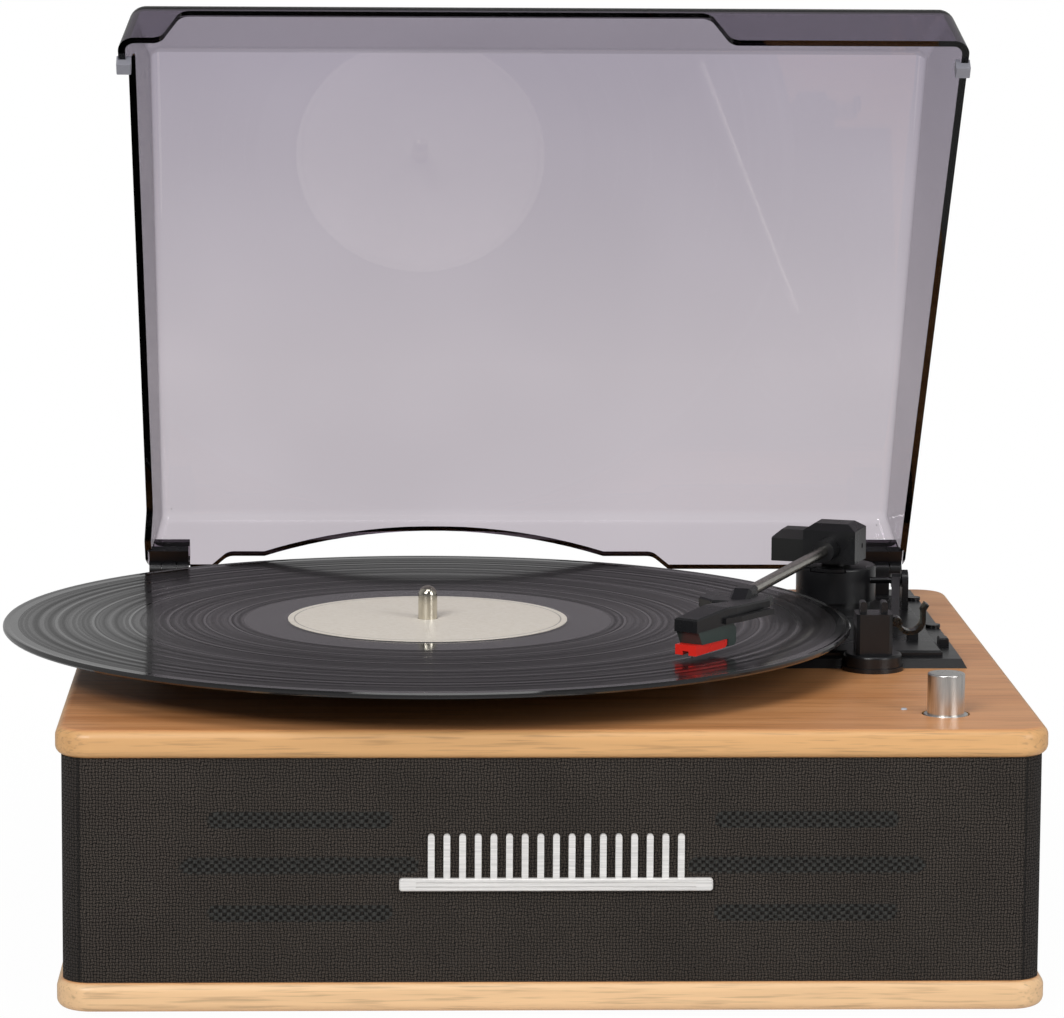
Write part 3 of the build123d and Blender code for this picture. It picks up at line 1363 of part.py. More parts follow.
def amp_board():
    z0 = BODY_Z0 + STANDOFF_H
    half_w = AMP_W / 2
    half_d = AMP_D / 2
    pieces = [box(AMP_X - half_w, AMP_X + half_w, AMP_Y - half_d, AMP_Y + half_d, z0, z0 + AMP_T)]
    for sx in (-1, 1):
        for sy in (-1, 1):
            x = AMP_X + sx * (half_w - STANDOFF_INSET)
            y = AMP_Y + sy * (half_d - STANDOFF_INSET)
            pieces.append(rod(x, y, BODY_Z0, z0, STANDOFF_R))
    top = z0 + AMP_T
    row_y = AMP_Y - AMP_D / 4
    for index in range(CAPACITOR_COUNT):
        x = AMP_X - AMP_W / 3 + CAPACITOR_PITCH * index
        pieces.append(rod(x, row_y, top, top + CAPACITOR_H, CAPACITOR_R))
    pieces.append(heat_sink(AMP_X + AMP_W / 10, row_y - HEAT_SINK_D / 2, top))
    return solids_of(*pieces)


def jack_plate():
    y0 = BOARD_D / 2 - BODY_INSET
    y1 = y0 + JACK_PLATE_T
    half_w = JACK_PLATE_W / 2
    half_h = JACK_PLATE_H / 2
    plate = box(JACK_X - half_w, JACK_X + half_w, y0, y1, JACK_Z - half_h, JACK_Z + half_h)
    plate = fillet(plate.edges().filter_by(Axis.Y), 3.0)
    for x, radius in jack_places():
        plate -= rod_y(x, y0, y1, JACK_Z, radius + SCREW_CLEARANCE)
    return plate


def jack_places():
    return (RCA_X, RCA_R), (RCA_X + RCA_PITCH, RCA_R), (DC_X, DC_R)


def rear_jacks():
    """Two round audio sockets and a power inlet with a centre pin."""
    y0 = BOARD_D / 2 - BODY_INSET
    y1 = y0 + JACK_PLATE_T
    pieces = []
    for x, radius in jack_places()[:2]:
        jack = rod_y(x, y0 - JACK_BACK, y1 + RCA_PROUD, JACK_Z, radius)
        jack += rod_y(x, y0 - JACK_COLLAR_T, y0, JACK_Z, radius + JACK_COLLAR_LIP)
        jack += rod_y(x, y1, y1 + JACK_NUT_T, JACK_Z, radius + JACK_COLLAR_LIP)
        pieces.append(jack - rod_y(x, y1, y1 + RCA_PROUD, JACK_Z, RCA_BORE_R))
    face_y = y1 + 1.0
    socket = rod_y(DC_X, y0 - JACK_BACK - 2, face_y, JACK_Z, DC_R)
    socket += rod_y(DC_X, y0 - JACK_COLLAR_T, y0, JACK_Z, DC_R + JACK_COLLAR_LIP)
    socket -= rod_y(DC_X, y0 - JACK_BACK, face_y, JACK_Z, DC_BORE_R)
    socket += rod_y(DC_X, y0 - JACK_BACK - 0.5, y1 - 1.0, JACK_Z, DC_PIN_R)
    pieces.append(socket)
    return solids_of(*pieces)


def build():
    front, left, right, rear = walls()
    cover = lid_cover()
    deck = deck_plate()
    speed = (SPEED_X, SPEED_Y, TIER_Z)
    stop = (STOP_X, STOP_Y, DECK_Z)
    deck = deck - slider_slot(*speed, SPEED_TRAVEL) - slider_slot(*stop, STOP_TRAVEL)
    return {
        "rubber_feet": rubber_feet(),
        "base_board": base_board(),
        "base_screws": solids_of(*[base_screw(x, y, 0) for x, y in base_screw_places()]),
        "front_baffle": front,
        "left_panel": left,
        "right_panel": right,
        "rear_panel": rear,
        "grille_cloth": grille_cloth(),
        "top_board": top_board(),
        "badge_bar": badge_bar(),
        "badge_fins": badge_fins(),
        "deck_plate": deck,
        "deck_screws": deck_screws(),
        "bearing_bush": bearing_bush(),
        "spindle": spindle(),
        "platter": platter(),
        "platter_mat": ring(SPINDLE_SEAT_R + RUN_GAP, MAT_R, PLATTER_Z1, RECORD_Z0),
        "record": record(),
        "record_label": record_label(),
        "motor": motor(),
        "motor_pulley": motor_pulley(),
        "drive_belt": drive_belt(),
        "arm_turret": arm_turret(),
        "arm_yoke": arm_yoke(),
        "arm_pivot_pin": arm_pivot_pin(),
        "arm_housing": arm_housing(),
        "counterweight": counterweight(),
        "arm_tube": arm_tube(),
        "headshell": headshell(),
        "finger_lift": finger_lift(),
        "cartridge": cartridge(),
        "cartridge_pins": cartridge_pins(),
        "stylus_holder": stylus_holder(),
        "stylus": stylus(),
        "lift_platform": lift_platform(),
        "cue_lever": cue_lever(),
        "cue_shaft": cue_shaft(),
        "cue_bracket": cue_bracket(),
        "arm_rest_post": arm_rest_post(),
        "arm_clip": arm_clip(),
        "clip_pin": clip_pin(),
        "speed_switch": slider(*speed),
        "auto_stop_switch": slider(*stop),
        "lid_cover": cover,
        "lid_bumpers": lid_bumpers(cover),
        "hinge_arm_left": hinge_arm(-1),
        "hinge_arm_right": hinge_arm(1),
        "hinge_base_left": hinge_base(-1),
        "hinge_base_right": hinge_base(1),
        "hinge_pins": hinge_pins(),
        "volume_knob": volume_knob(),
        "pot_shaft": pot_shaft(),
        "potentiometer": potentiometer(),
        "power_led": power_led(),
        "speaker_left": speaker(-1),
        "speaker_right": speaker(1),
        "speaker_cones": solids_of(speaker_cone(-1), speaker_cone(1)),
        "amp_board": amp_board(),
        "jack_plate": jack_plate(),
        "rear_jacks": rear_jacks(),
    }


def main():
    os.makedirs("parts", exist_ok=True)
    for name, shape in build().items():
        export_step(shape, f"parts/{name}.step")


main()
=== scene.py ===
"""The looks of a table record player: wood, grille cloth, vinyl, tinted acrylic and metal."""

import math

import bmesh
import bpy
from mathutils import Matrix, Vector

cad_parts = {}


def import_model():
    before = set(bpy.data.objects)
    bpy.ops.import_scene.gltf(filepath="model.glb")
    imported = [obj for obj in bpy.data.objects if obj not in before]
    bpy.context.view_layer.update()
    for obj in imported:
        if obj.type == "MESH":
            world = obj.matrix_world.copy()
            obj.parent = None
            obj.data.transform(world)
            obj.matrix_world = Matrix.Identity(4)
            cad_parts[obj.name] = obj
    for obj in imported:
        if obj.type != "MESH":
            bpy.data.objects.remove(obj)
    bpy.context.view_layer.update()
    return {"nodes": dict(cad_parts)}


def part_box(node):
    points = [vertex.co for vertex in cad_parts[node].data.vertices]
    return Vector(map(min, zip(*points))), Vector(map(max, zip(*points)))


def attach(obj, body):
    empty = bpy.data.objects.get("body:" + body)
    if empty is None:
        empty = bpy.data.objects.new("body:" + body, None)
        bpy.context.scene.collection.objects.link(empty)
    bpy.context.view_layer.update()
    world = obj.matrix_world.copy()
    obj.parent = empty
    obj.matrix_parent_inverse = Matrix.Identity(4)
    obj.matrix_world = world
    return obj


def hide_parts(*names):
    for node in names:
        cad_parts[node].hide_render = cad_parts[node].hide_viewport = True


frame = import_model()
nodes = frame["nodes"]

# Camera, fitted to the photo. Angles in radians, lengths in metres.
CAMERA_PLACE = (-0.06475, -1.70139, 0.38916)
CAMERA_YAW = -0.0366
CAMERA_PITCH = 0.1398
CAMERA_ROLL = -0.0059
CAMERA_LENS_MM = 162.0

# Floor and world. The last three are the white surroundings' strength once a surface mirrors them.
FLOOR_HALF = 30.0
FLOOR_GLOW = 0.98
SHADOW_FROM = 0.2
SHADOW_TO = 0.5
AMBIENT = 0.30
MIRRORED_FRONT = 0.10
MIRRORED_BACK = 0.44
MIRRORED_FLOOR = 0.36

# Softboxes: place, aim, size and watts
SOFTBOXES = {
    "key": ((-1.1, -2.3, 1.75), (0, 0, 0.12), (1.1, 0.9), 41.0),
    "fill": ((1.7, -1.6, 1.0), (0.05, 0, 0.12), (1.0, 1.6), 18.0),
    "top": ((0.1, -1.1, 2.1), (0, -0.05, 0.1), (1.4, 0.7), 9.0),
}

# Cloth wrap: its rounded corners, its mesh, and how far it sinks into a slot
CLOTH_CORNER_R = 0.010
CLOTH_STEP = 0.00125
CLOTH_CORNER_STEP = 0.0012
CLOTH_COARSE_STEP = 0.005
CLOTH_DENT = 0.00035
CLOTH_DENT_EDGE = 0.0012

# Weave with painted shade between its threads and on its sides, the holes that show through it with painted
# shade in them, and the seams beside the front's corners
THREAD_PITCH = 0.00105
THREAD_SWAY = 1.6 * THREAD_PITCH
# Painted shade: the near-black colour where the weave lies low, between the threads
THREAD_GAP_PAINTED_SHADE = (0.002, 0.0017, 0.0015)
THREAD_TONE = (0.051, 0.042, 0.0355)
PERFORATION_X = 0.00283
PERFORATION_Z = 0.00250
PERFORATED_SHEET = (0.040, 0.042, 0.040)
# Painted shade: the near-black of the holes behind the cloth over the slots
HOLE_PAINTED_SHADE = (0.001, 0.001, 0.001)
THREAD_SHARE_OVER_HOLES = 0.25
FRONT_PANEL_INSET = 0.006
FRONT_PANEL_SEAM = 0.00035
SEAM_TONE = (0.004, 0.004, 0.004)
# Painted shade: the cloth's colour is darkened by this factor on the sides, beyond the front panel
SIDE_PAINTED_SHADE = (0.74, 0.75, 0.78)

# Slots in the front: middle of each group, half height, then (height, half length) of each row
SLOT_X = 0.084
SLOT_HALF_H = 0.003
SLOTS = ((0.0669, 0.0308), (0.0512, 0.0397), (0.0355, 0.0308))

# The rear jack plate overlaps its hole in the cloth by this much
JACK_HOLE_MARGIN_X = 0.006
JACK_HOLE_MARGIN_Z = 0.005

# Record: radii of the bands between tracks, and of the first and last groove
RECORD_BANDS = (0.0705, 0.0795, 0.0925, 0.1060, 0.1190, 0.1320)
RECORD_BAND_HALF_W = 0.00045
RECORD_LEAD_IN = 0.1455
RECORD_LEAD_OUT = 0.0655
LABEL_RING_R = 0.0475
LABEL_RING_HALF_W = 0.00025

# Lid: tint through its thickness, and the tones of its lower and upper part when it is open
LID_TINT = (0.48, 0.43, 0.49)
LID_TINT_DENSITY = 365.0
LID_TONES = ((1.0, 0.970, 0.985), (0.70, 0.675, 0.745))
LID_TONE_LOW = 0.19
LID_TONE_HIGH = 0.31

# Wood: the boards' faces from the dark to the light grain, and their edges, which are painted lighter than
# the faces as painted light
WOOD_FACE = ((0.53, 0.200, 0.060), (0.70, 0.312, 0.120), (0.82, 0.412, 0.180))
WOOD_EDGE_DARK = (0.50, 0.25, 0.09)
WOOD_EDGE_MIDDLE = 0.86
TOP_EDGE_WITH_PAINTED_LIGHT = (0.75, 0.42, 0.175)
BASE_EDGE_WITH_PAINTED_LIGHT = (0.84, 0.55, 0.30)


class Material:
    """A Principled material, with short helpers for the textures that feed it."""

    def __init__(self, name, color=(0.5, 0.5, 0.5), roughness=0.5, **sockets):
        self.data = bpy.data.materials.new(name)
        self.data.use_nodes = True
        self.tree = self.data.node_tree
        self.shader = self.tree.nodes["Principled BSDF"]
        self.set("Base Color", color)
        self.set("Roughness", roughness)
        for socket, value in sockets.items():
            self.set(socket.replace("_", " "), value)

    def set(self, socket, value):
        self.feed(self.shader.inputs[socket], value)

    def feed(self, socket, value):
        if isinstance(value, bpy.types.NodeSocket):
            self.tree.links.new(value, socket)
        elif socket.type == "RGBA":
            socket.default_value = (*value, 1.0)
        else:
            socket.default_value = value

    def node(self, kind, inputs=(), **settings):
        node = self.tree.nodes.new(kind)
        for key, value in settings.items():
            setattr(node, key, value)
        for socket, value in dict(inputs).items():
            self.feed(node.inputs[socket], value)
        return node

    def place(self, stretch=(1, 1, 1), offset=(0, 0, 0)):
        """The point on the piece at rest, in metres, times stretch."""
        coords = self.node("ShaderNodeTexCoord").outputs["Object"]
        mapping = {"Vector": coords, "Scale": stretch, "Location": offset}
        return self.node("ShaderNodeMapping", mapping).outputs["Vector"]

    def math(self, operation, a, b=0.0, clamp=False):
        node = self.node("ShaderNodeMath", {0: a, 1: b}, operation=operation)
        node.use_clamp = clamp
        return node.outputs[0]

    def noise(self, stretch, detail=4.0, rough=0.55, distortion=0.0, offset=(0, 0, 0)):
        inputs = {
            "Vector": self.place(stretch, offset),
            "Scale": 1.0,
            "Detail": detail,
            "Roughness": rough,
            "Distortion": distortion,
        }
        return self.node("ShaderNodeTexNoise", inputs).outputs["Fac"]

    def ramp(self, factor, *stops):
        """Colour or grey from (position, value) stops; a number stands for a grey."""
        node = self.node("ShaderNodeValToRGB", {"Fac": factor})
        elements = node.color_ramp.elements
        while len(elements) < len(stops):
            elements.new(0.5)
        for element, (position, value) in zip(elements, stops):
            element.position = position
            color = value if isinstance(value, tuple) else (value, value, value)
            element.color = (*color, 1.0)
        return node.outputs["Color"]

    def mix(self, factor, a, b, blend="MIX"):
        node = self.node("ShaderNodeMix", data_type="RGBA", blend_type=blend)
        self.feed(node.inputs[0], factor)
        self.feed(node.inputs[6], a)
        self.feed(node.inputs[7], b)
        return node.outputs[2]

    def between(self, factor, low, high):
        """A number that runs from low to high as factor runs from 0 to 1."""
        span = self.node("ShaderNodeMapRange", {0: factor, 3: low, 4: high})
        return span.outputs[0]

    def bump(self, height, distance, strength=1.0):
        inputs = {"Height": height, "Distance": distance, "Strength": strength}
        self.set("Normal", self.node("ShaderNodeBump", inputs).outputs["Normal"])


def paint(material, *names):
    for name in names:
        slots = nodes[name].data.materials
        slots.clear()
        slots.append(material.data)


# Materials


def wood(name, offset, edge_tone_with_painted_light):
    """Lacquered honey wood whose grain runs along X, with painted light on the board's upright sides, which
    are lighter than its top and bottom.
    """
    m = Material(name, roughness=0.36)
    m.set("Coat Weight", 0.10)
    m.set("Coat Roughness", 0.22)
    figure = m.noise((1.6, 22, 26), 3.0, 0.5, 1.2, offset)
    lines = m.noise((5, 210, 240), 4.0, 0.65, 0.5, offset)
    pores = m.noise((45, 1100, 1100), 2.0, 0.5, 0.0, offset)
    tone = m.math("ADD", m.math("MULTIPLY", figure, 0.55), m.math("MULTIPLY", lines, 0.45))
    face = m.ramp(tone, *zip((0.33, 0.46, 0.62), WOOD_FACE))
    # Painted light: upright sides, found by the surface normal, get a lighter grain ramp than the faces
    edge_middle = tuple(WOOD_EDGE_MIDDLE * c for c in edge_tone_with_painted_light)
    edge = m.ramp(tone, (0.20, WOOD_EDGE_DARK), (0.38, edge_middle), (0.58, edge_tone_with_painted_light))
    normal = m.node("ShaderNodeTexCoord").outputs["Normal"]
    upright = m.node("ShaderNodeSeparateXYZ", {0: normal}).outputs["Z"]
    flat = m.math("ABSOLUTE", upright)
    is_face = m.ramp(flat, (0.75, 0.0), (0.98, 1.0))
    color = m.mix(is_face, edge, face)
    streak = m.ramp(pores, (0.30, 0.74), (0.47, 1.0))
    m.set("Base Color", m.mix(1.0, color, streak, "MULTIPLY"))
    m.set("Roughness", m.between(lines, 0.30, 0.46))
    m.bump(m.math("ADD", m.math("MULTIPLY", pores, 0.6), lines), 0.00006, 0.5)
    return m


def fibreboard():
    """Pressed wood fibre, for the panels under the cloth."""
    m = Material("fibreboard", roughness=0.85)
    grain = m.noise((900, 900, 900), 3.0)
    m.set("Base Color", m.ramp(grain, (0.3, (0.22, 0.15, 0.09)), (0.7, (0.36, 0.26, 0.17))))
    m.bump(grain, 0.0001)
    return m


def plastic(name, color, roughness, grain=0.00004, spread=0.08):
    """Moulded plastic with a fine spark-eroded texture and slightly uneven gloss."""
    m = Material(name, color, roughness)
    fine = m.noise((2600, 2600, 2600), 2.0)
    broad = m.noise((60, 60, 60), 2.0)
    tint = tuple(c * 1.35 + 0.002 for c in color)
    m.set("Base Color", m.mix(m.math("MULTIPLY", broad, 0.8), color, tint))
    m.set("Roughness", m.between(broad, roughness - spread, roughness + spread))
    m.bump(fine, grain, 0.6)
    return m


def metal(name, color, roughness, brushed=(1, 1, 1), depth=0.00002, metallic=1.0):
    """Brushed or cast metal; brushed stretches the scratches, and metallic is lower under a lacquer."""
    m = Material(name, color, roughness, Metallic=metallic)
    scratch = m.noise(tuple(900 * b for b in brushed), 3.0, 0.6)
    dark = tuple(c * 0.78 for c in color)
    m.set("Base Color", m.ramp(scratch, (0.35, dark), (0.62, color)))
    m.set("Roughness", m.between(scratch, roughness - 0.07, roughness + 0.1))
    m.bump(scratch, depth, 0.5)
    return m


def record_radius(m, center):
    """Distance from the spindle's axis in metres."""
    shifted = m.place(offset=(-center.x, -center.y, -center.z))
    flat = m.node("ShaderNodeVectorMath", {0: shifted, 1: (1, 1, 0)}, operation="MULTIPLY")
    length = m.node("ShaderNodeVectorMath", {0: flat.outputs[0]}, operation="LENGTH")
    return length.outputs["Value"]


def ring_mask(m, radius, at, half_width):
    """1 where radius is within half_width of at, 0 elsewhere."""
    gap = m.math("ABSOLUTE", m.math("SUBTRACT", radius, at))
    return m.math("LESS_THAN", gap, half_width)


def vinyl(center):
    """Pressed vinyl: grooves whose gloss changes from ring to ring, with painted sheen in their colour's
    lighter and darker rings, and smooth bands between tracks.
    """
    m = Material("vinyl", Specular_IOR_Level=0.16)
    radius = record_radius(m, center)
    outward = m.node("ShaderNodeCombineXYZ", {0: radius}).outputs[0]

    def rings(scale, detail):
        inputs = {"Vector": outward, "Scale": scale, "Detail": detail}
        return m.node("ShaderNodeTexNoise", inputs).outputs["Fac"]

    grooves = rings(1500.0, 3.0)
    passages = rings(420.0, 6.0)
    smooth = m.math("LESS_THAN", radius, RECORD_LEAD_OUT)
    smooth = m.math("MAXIMUM", smooth, m.math("GREATER_THAN", radius, RECORD_LEAD_IN))
    for band in RECORD_BANDS:
        smooth = m.math("MAXIMUM", smooth, ring_mask(m, radius, band, RECORD_BAND_HALF_W))
    cut = m.math("SUBTRACT", 1.0, smooth)
    # Painted sheen: the grooves' colour turns lighter and darker from ring to ring
    grooved_painted_sheen = m.ramp(passages, (0.42, (0.002, 0.0018, 0.002)), (0.58, (0.014, 0.0125, 0.0135)))
    m.set("Base Color", m.mix(cut, (0.010, 0.0095, 0.010), grooved_painted_sheen))
    m.set("Roughness", m.between(cut, 0.12, 0.30))
    m.set("Anisotropic", 0.92)
    m.set("Anisotropic Rotation", 0.25)
    tangent = m.node("ShaderNodeTangent", direction_type="RADIAL", axis="Z")
    m.set("Tangent", tangent.outputs["Tangent"])
    gloss = m.ramp(passages, (0.40, 0.08), (0.50, 0.36), (0.60, 0.80))
    m.set("Coat Weight", m.node("ShaderNodeMix", {0: cut, 2: 1.0, 3: gloss}).outputs[0])
    m.set("Coat Roughness", 0.09)
    m.bump(m.math("MULTIPLY", m.math("ADD", grooves, passages), cut), 0.00004, 0.55)
    return m


def paper_label(center):
    """Cream paper with one thin printed ring."""
    m = Material("label_paper", roughness=0.38)
    radius = record_radius(m, center)
    fibre = m.noise((700, 700, 700), 3.0)
    paper = m.ramp(fibre, (0.3, (0.88, 0.81, 0.70)), (0.7, (0.97, 0.91, 0.81)))
    ring = m.math("MULTIPLY", ring_mask(m, radius, LABEL_RING_R, LABEL_RING_HALF_W), 0.6)
    m.set("Base Color", m.mix(ring, paper, (0.20, 0.19, 0.18)))
    m.bump(fibre, 0.00002, 0.4)
    return m


def tinted_acrylic(name, color, density, roughness, clear=((1.0, 1.0, 1.0), (1.0, 1.0, 1.0))):
    """Clear plastic with a tint through its thickness; clear runs from the low to the high end."""
    m = Material(name, (1.0, 1.0, 1.0), roughness, IOR=1.49, Transmission_Weight=1.0)
    haze = m.noise((35, 35, 35), 3.0)
    cloud = m.noise((7, 7, 7), 2.0)
    height = m.node("ShaderNodeSeparateXYZ", {0: m.place()}).outputs["Z"]
    rise = m.node("ShaderNodeMapRange", {0: height, 1: LID_TONE_LOW, 2: LID_TONE_HIGH}).outputs[0]
    tone = m.mix(rise, clear[0], clear[1])
    m.set("Base Color", m.mix(1.0, tone, m.ramp(cloud, (0.35, 0.93), (0.6, 1.0)), "MULTIPLY"))
    m.set("Roughness", m.between(haze, roughness * 0.6, roughness * 1.4))
    inside = m.node("ShaderNodeVolumeAbsorption", {"Color": color, "Density": density})
    out = m.tree.nodes["Material Output"]
    m.tree.links.new(inside.outputs["Volume"], out.inputs["Volume"])
    return m


def grille_weave(length, half_w):
    """Coarse plain weave, with painted shade between its threads and on the sides, and a perforated sheet
    with holes of painted shade behind the slots.
    """
    m = Material("grille_fabric", roughness=0.9)
    m.set("Sheen Weight", 0.04)
    m.set("Specular IOR Level", 0.2)
    m.set("Sheen Roughness", 0.5)
    uv = m.node("ShaderNodeUVMap", uv_map="weave").outputs["UV"]
    drift = m.node("ShaderNodeTexNoise", {"Vector": uv, "Scale": 260.0, "Detail": 2.0}).outputs["Fac"]
    sway = m.math("MULTIPLY", m.math("SUBTRACT", drift, 0.5), THREAD_SWAY)
    split = m.node("ShaderNodeSeparateXYZ", {0: uv})
    along = m.math("ADD", split.outputs["X"], sway)
    up = m.math("ADD", split.outputs["Y"], sway)

    def wave(value, pitch):
        return m.math("SINE", m.math("MULTIPLY", value, 2 * math.pi / pitch))

    across = wave(along, 2 * THREAD_PITCH)
    rise = wave(up, 2 * THREAD_PITCH)
    over = m.math("GREATER_THAN", m.math("MULTIPLY", across, rise), 0.0)
    warp = m.math("ABSOLUTE", across)
    weft = m.math("ABSOLUTE", rise)
    height = m.node("ShaderNodeMix", {0: over, 2: weft, 3: warp}, data_type="FLOAT").outputs[0]
    fuzz = m.node("ShaderNodeTexNoise", {"Vector": uv, "Scale": 2200.0, "Detail": 3.0}).outputs["Fac"]
    patch = m.node("ShaderNodeTexNoise", {"Vector": uv, "Scale": 30.0, "Detail": 3.0}).outputs["Fac"]
    # Painted shade between the threads, where the weave lies low
    thread = m.ramp(height, (0.28, THREAD_GAP_PAINTED_SHADE), (0.88, THREAD_TONE))
    thread = m.mix(over, thread, m.mix(1.0, thread, (1.12, 1.11, 1.10), "MULTIPLY"))
    thread = m.mix(1.0, thread, m.ramp(fuzz, (0.3, 0.72), (0.7, 1.2)), "MULTIPLY")
    thread = m.mix(1.0, thread, m.ramp(patch, (0.3, 0.88), (0.7, 1.1)), "MULTIPLY")
    # Painted shade on the cloth's sides, beyond the front panel
    from_middle = m.math("ABSOLUTE", m.math("SUBTRACT", split.outputs["X"], length / 2))
    panel_edge = half_w - FRONT_PANEL_INSET
    around = m.math("GREATER_THAN", from_middle, panel_edge)
    thread = m.mix(around, thread, m.mix(1.0, thread, SIDE_PAINTED_SHADE, "MULTIPLY"))
    seam = ring_mask(m, from_middle, panel_edge, FRONT_PANEL_SEAM)
    thread = m.mix(m.math("MULTIPLY", seam, 0.7), thread, SEAM_TONE)
    holes = m.math(
        "MULTIPLY",
        m.math("COSINE", m.math("MULTIPLY", along, 2 * math.pi / PERFORATION_X)),
        m.math("COSINE", m.math("MULTIPLY", up, 2 * math.pi / PERFORATION_Z)),
    )
    lattice = m.math("MULTIPLY", m.math("ADD", holes, 1.0), 0.5)
    # Over the slots, a perforated sheet whose holes are painted shade darkens the cloth
    behind = m.ramp(lattice, (0.34, PERFORATED_SHEET), (0.64, HOLE_PAINTED_SHADE))
    dent = m.node("ShaderNodeAttribute", attribute_name="slot").outputs["Fac"]
    slot = m.ramp(dent, (0.05, 0.0), (0.45, 1.0))
    seen = m.mix(THREAD_SHARE_OVER_HOLES, behind, thread)
    m.set("Base Color", m.mix(slot, thread, seen))
    m.bump(m.math("ADD", height, m.math("MULTIPLY", fuzz, 0.3)), 0.00035, 0.8)
    return m


# Cloth


def slot_depth(x, z):
    """0 on the flat cloth, 1 well inside a slot."""
    nearest = 1.0
    for slot_z, half_length in SLOTS:
        run = max(abs(abs(x) - SLOT_X) - (half_length - SLOT_HALF_H), 0.0)
        nearest = min(nearest, math.hypot(run, z - slot_z) - SLOT_HALF_H)
    t = min(max(-nearest / CLOTH_DENT_EDGE, 0.0), 1.0)
    return t * t * (3 - 2 * t)


def spaced(start, end, step):
    """Evenly spaced values from start on, about step apart, without end."""
    count = max(1, round((end - start) / step))
    return [start + (end - start) * i / count for i in range(count)]


class Outline:
    """The rounded rectangle that the cloth follows, by length from the middle of the back."""

    def __init__(self, half_w, half_d, radius):
        self.radius = radius
        x, y = half_w - radius, half_d - radius
        arc = math.pi / 2 * radius
        self.parts = []
        at = 0.0
        corners = [(-x, y), (-x, -y), (x, -y), (x, y)]
        runs = [half_w - radius, 2 * y, 2 * x, 2 * y, half_w - radius]
        start = Vector((0, half_d))
        for index, run in enumerate(runs):
            angle = math.pi + index * math.pi / 2
            heading = Vector((math.cos(angle), math.sin(angle)))
            self.parts.append((at, at + run, start.copy(), heading, None))
            at += run
            start += heading * run
            if index < 4:
                center = Vector(corners[index])
                self.parts.append((at, at + arc, start.copy(), heading, center))
                at += arc
                start = center + heading * radius
        self.length = at

    def point(self, s):
        """(place, outward direction) at length s."""
        part = next(p for p in self.parts if s <= p[1] + 1e-9)
        begin, _, start, heading, center = part
        if center is None:
            outward = Vector((heading.y, -heading.x))
            return start + heading * (s - begin), outward
        turn = (s - begin) / self.radius
        from_center = Matrix.Rotation(turn, 2) @ (start - center)
        return center + from_center, from_center.normalized()


def cloth_columns(outline, window):
    """Lengths at which the cloth has a column of points: close together across the front.

    window holds the X of the jack hole's two sides. Both are positive, on the last run.
    """
    columns = []
    for begin, end, start, heading, center in outline.parts:
        front = center is None and heading.x > 0 and start.y < 0
        if center is not None:
            columns += spaced(begin, end, CLOTH_CORNER_STEP)
        else:
            columns += spaced(begin, end, CLOTH_STEP if front else CLOTH_COARSE_STEP)
    columns.append(outline.length)
    extra = [outline.length - x for x in window]
    return sorted(set(columns) | set(extra))


def grille_cloth():
    """The cloth as one sheet around the cabinet, with a hole for the rear jack plate."""
    low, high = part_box("grille_cloth")
    plate_low, plate_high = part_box("jack_plate")
    hole_x = (plate_low.x + JACK_HOLE_MARGIN_X, plate_high.x - JACK_HOLE_MARGIN_X)
    hole_z = (plate_low.z + JACK_HOLE_MARGIN_Z, plate_high.z - JACK_HOLE_MARGIN_Z)
    outline = Outline(high.x, high.y, CLOTH_CORNER_R)
    columns = cloth_columns(outline, hole_x)
    rows = sorted(set(spaced(low.z, high.z, CLOTH_STEP) + [high.z, *hole_z]))
    mesh = bpy.data.meshes.new("cloth_wrap")
    cloth = bpy.data.objects.new("cloth_wrap", mesh)
    bpy.context.scene.collection.objects.link(cloth)
    points, depths, places = [], [], []
    for s in columns:
        place, outward = outline.point(s)
        for z in rows:
            depth = slot_depth(place.x, z) if outward.y < -0.9 else 0.0
            spot = place - outward * CLOTH_DENT * depth
            points.append((spot.x, spot.y, z))
            depths.append(depth)
            places.append((s, z))
    faces = []
    count = len(rows)
    for i in range(len(columns) - 1):
        for j in range(count - 1):
            middle = outline.point((columns[i] + columns[i + 1]) / 2)[0]
            z = (rows[j] + rows[j + 1]) / 2
            if middle.y > 0 and hole_x[0] < middle.x < hole_x[1] and hole_z[0] < z < hole_z[1]:
                continue
            a = i * count + j
            faces.append((a, a + count, a + count + 1, a + 1))
    mesh.from_pydata(points, [], faces)
    mesh.shade_smooth()
    weave = mesh.uv_layers.new(name="weave")
    for loop in mesh.loops:
        weave.data[loop.index].uv = places[loop.vertex_index]
    slot = mesh.attributes.new("slot", "FLOAT", "POINT")
    slot.data.foreach_set("value", depths)
    mesh.materials.append(grille_weave(outline.length, high.x).data)
    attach(cloth, "cabinet")
    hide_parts("grille_cloth")


# Floor, lights and camera


def seen_rays(tree):
    """1 for rays that look at the background: camera, glossy and transmission rays."""
    path = tree.nodes.new("ShaderNodeLightPath")
    total = path.outputs["Is Camera Ray"]
    for name in ("Is Glossy Ray", "Is Transmission Ray"):
        add = tree.nodes.new("ShaderNodeMath")
        add.operation = "MAXIMUM"
        tree.links.new(total, add.inputs[0])
        tree.links.new(path.outputs[name], add.inputs[1])
        total = add.outputs[0]
    return total


def unless_mirrored(tree, direct, mirrored):
    """direct for a plain view, mirrored (a number or a socket) once a surface has reflected it."""
    path = tree.nodes.new("ShaderNodeLightPath")
    once = tree.nodes.new("ShaderNodeMath")
    once.operation = "GREATER_THAN"
    once.inputs[1].default_value = 0.5
    tree.links.new(path.outputs["Glossy Depth"], once.inputs[0])
    blend = tree.nodes.new("ShaderNodeMix")
    blend.inputs[2].default_value = direct
    if isinstance(mirrored, bpy.types.NodeSocket):
        tree.links.new(mirrored, blend.inputs[3])
    else:
        blend.inputs[3].default_value = mirrored
    tree.links.new(once.outputs[0], blend.inputs[0])
    return blend.outputs[0]


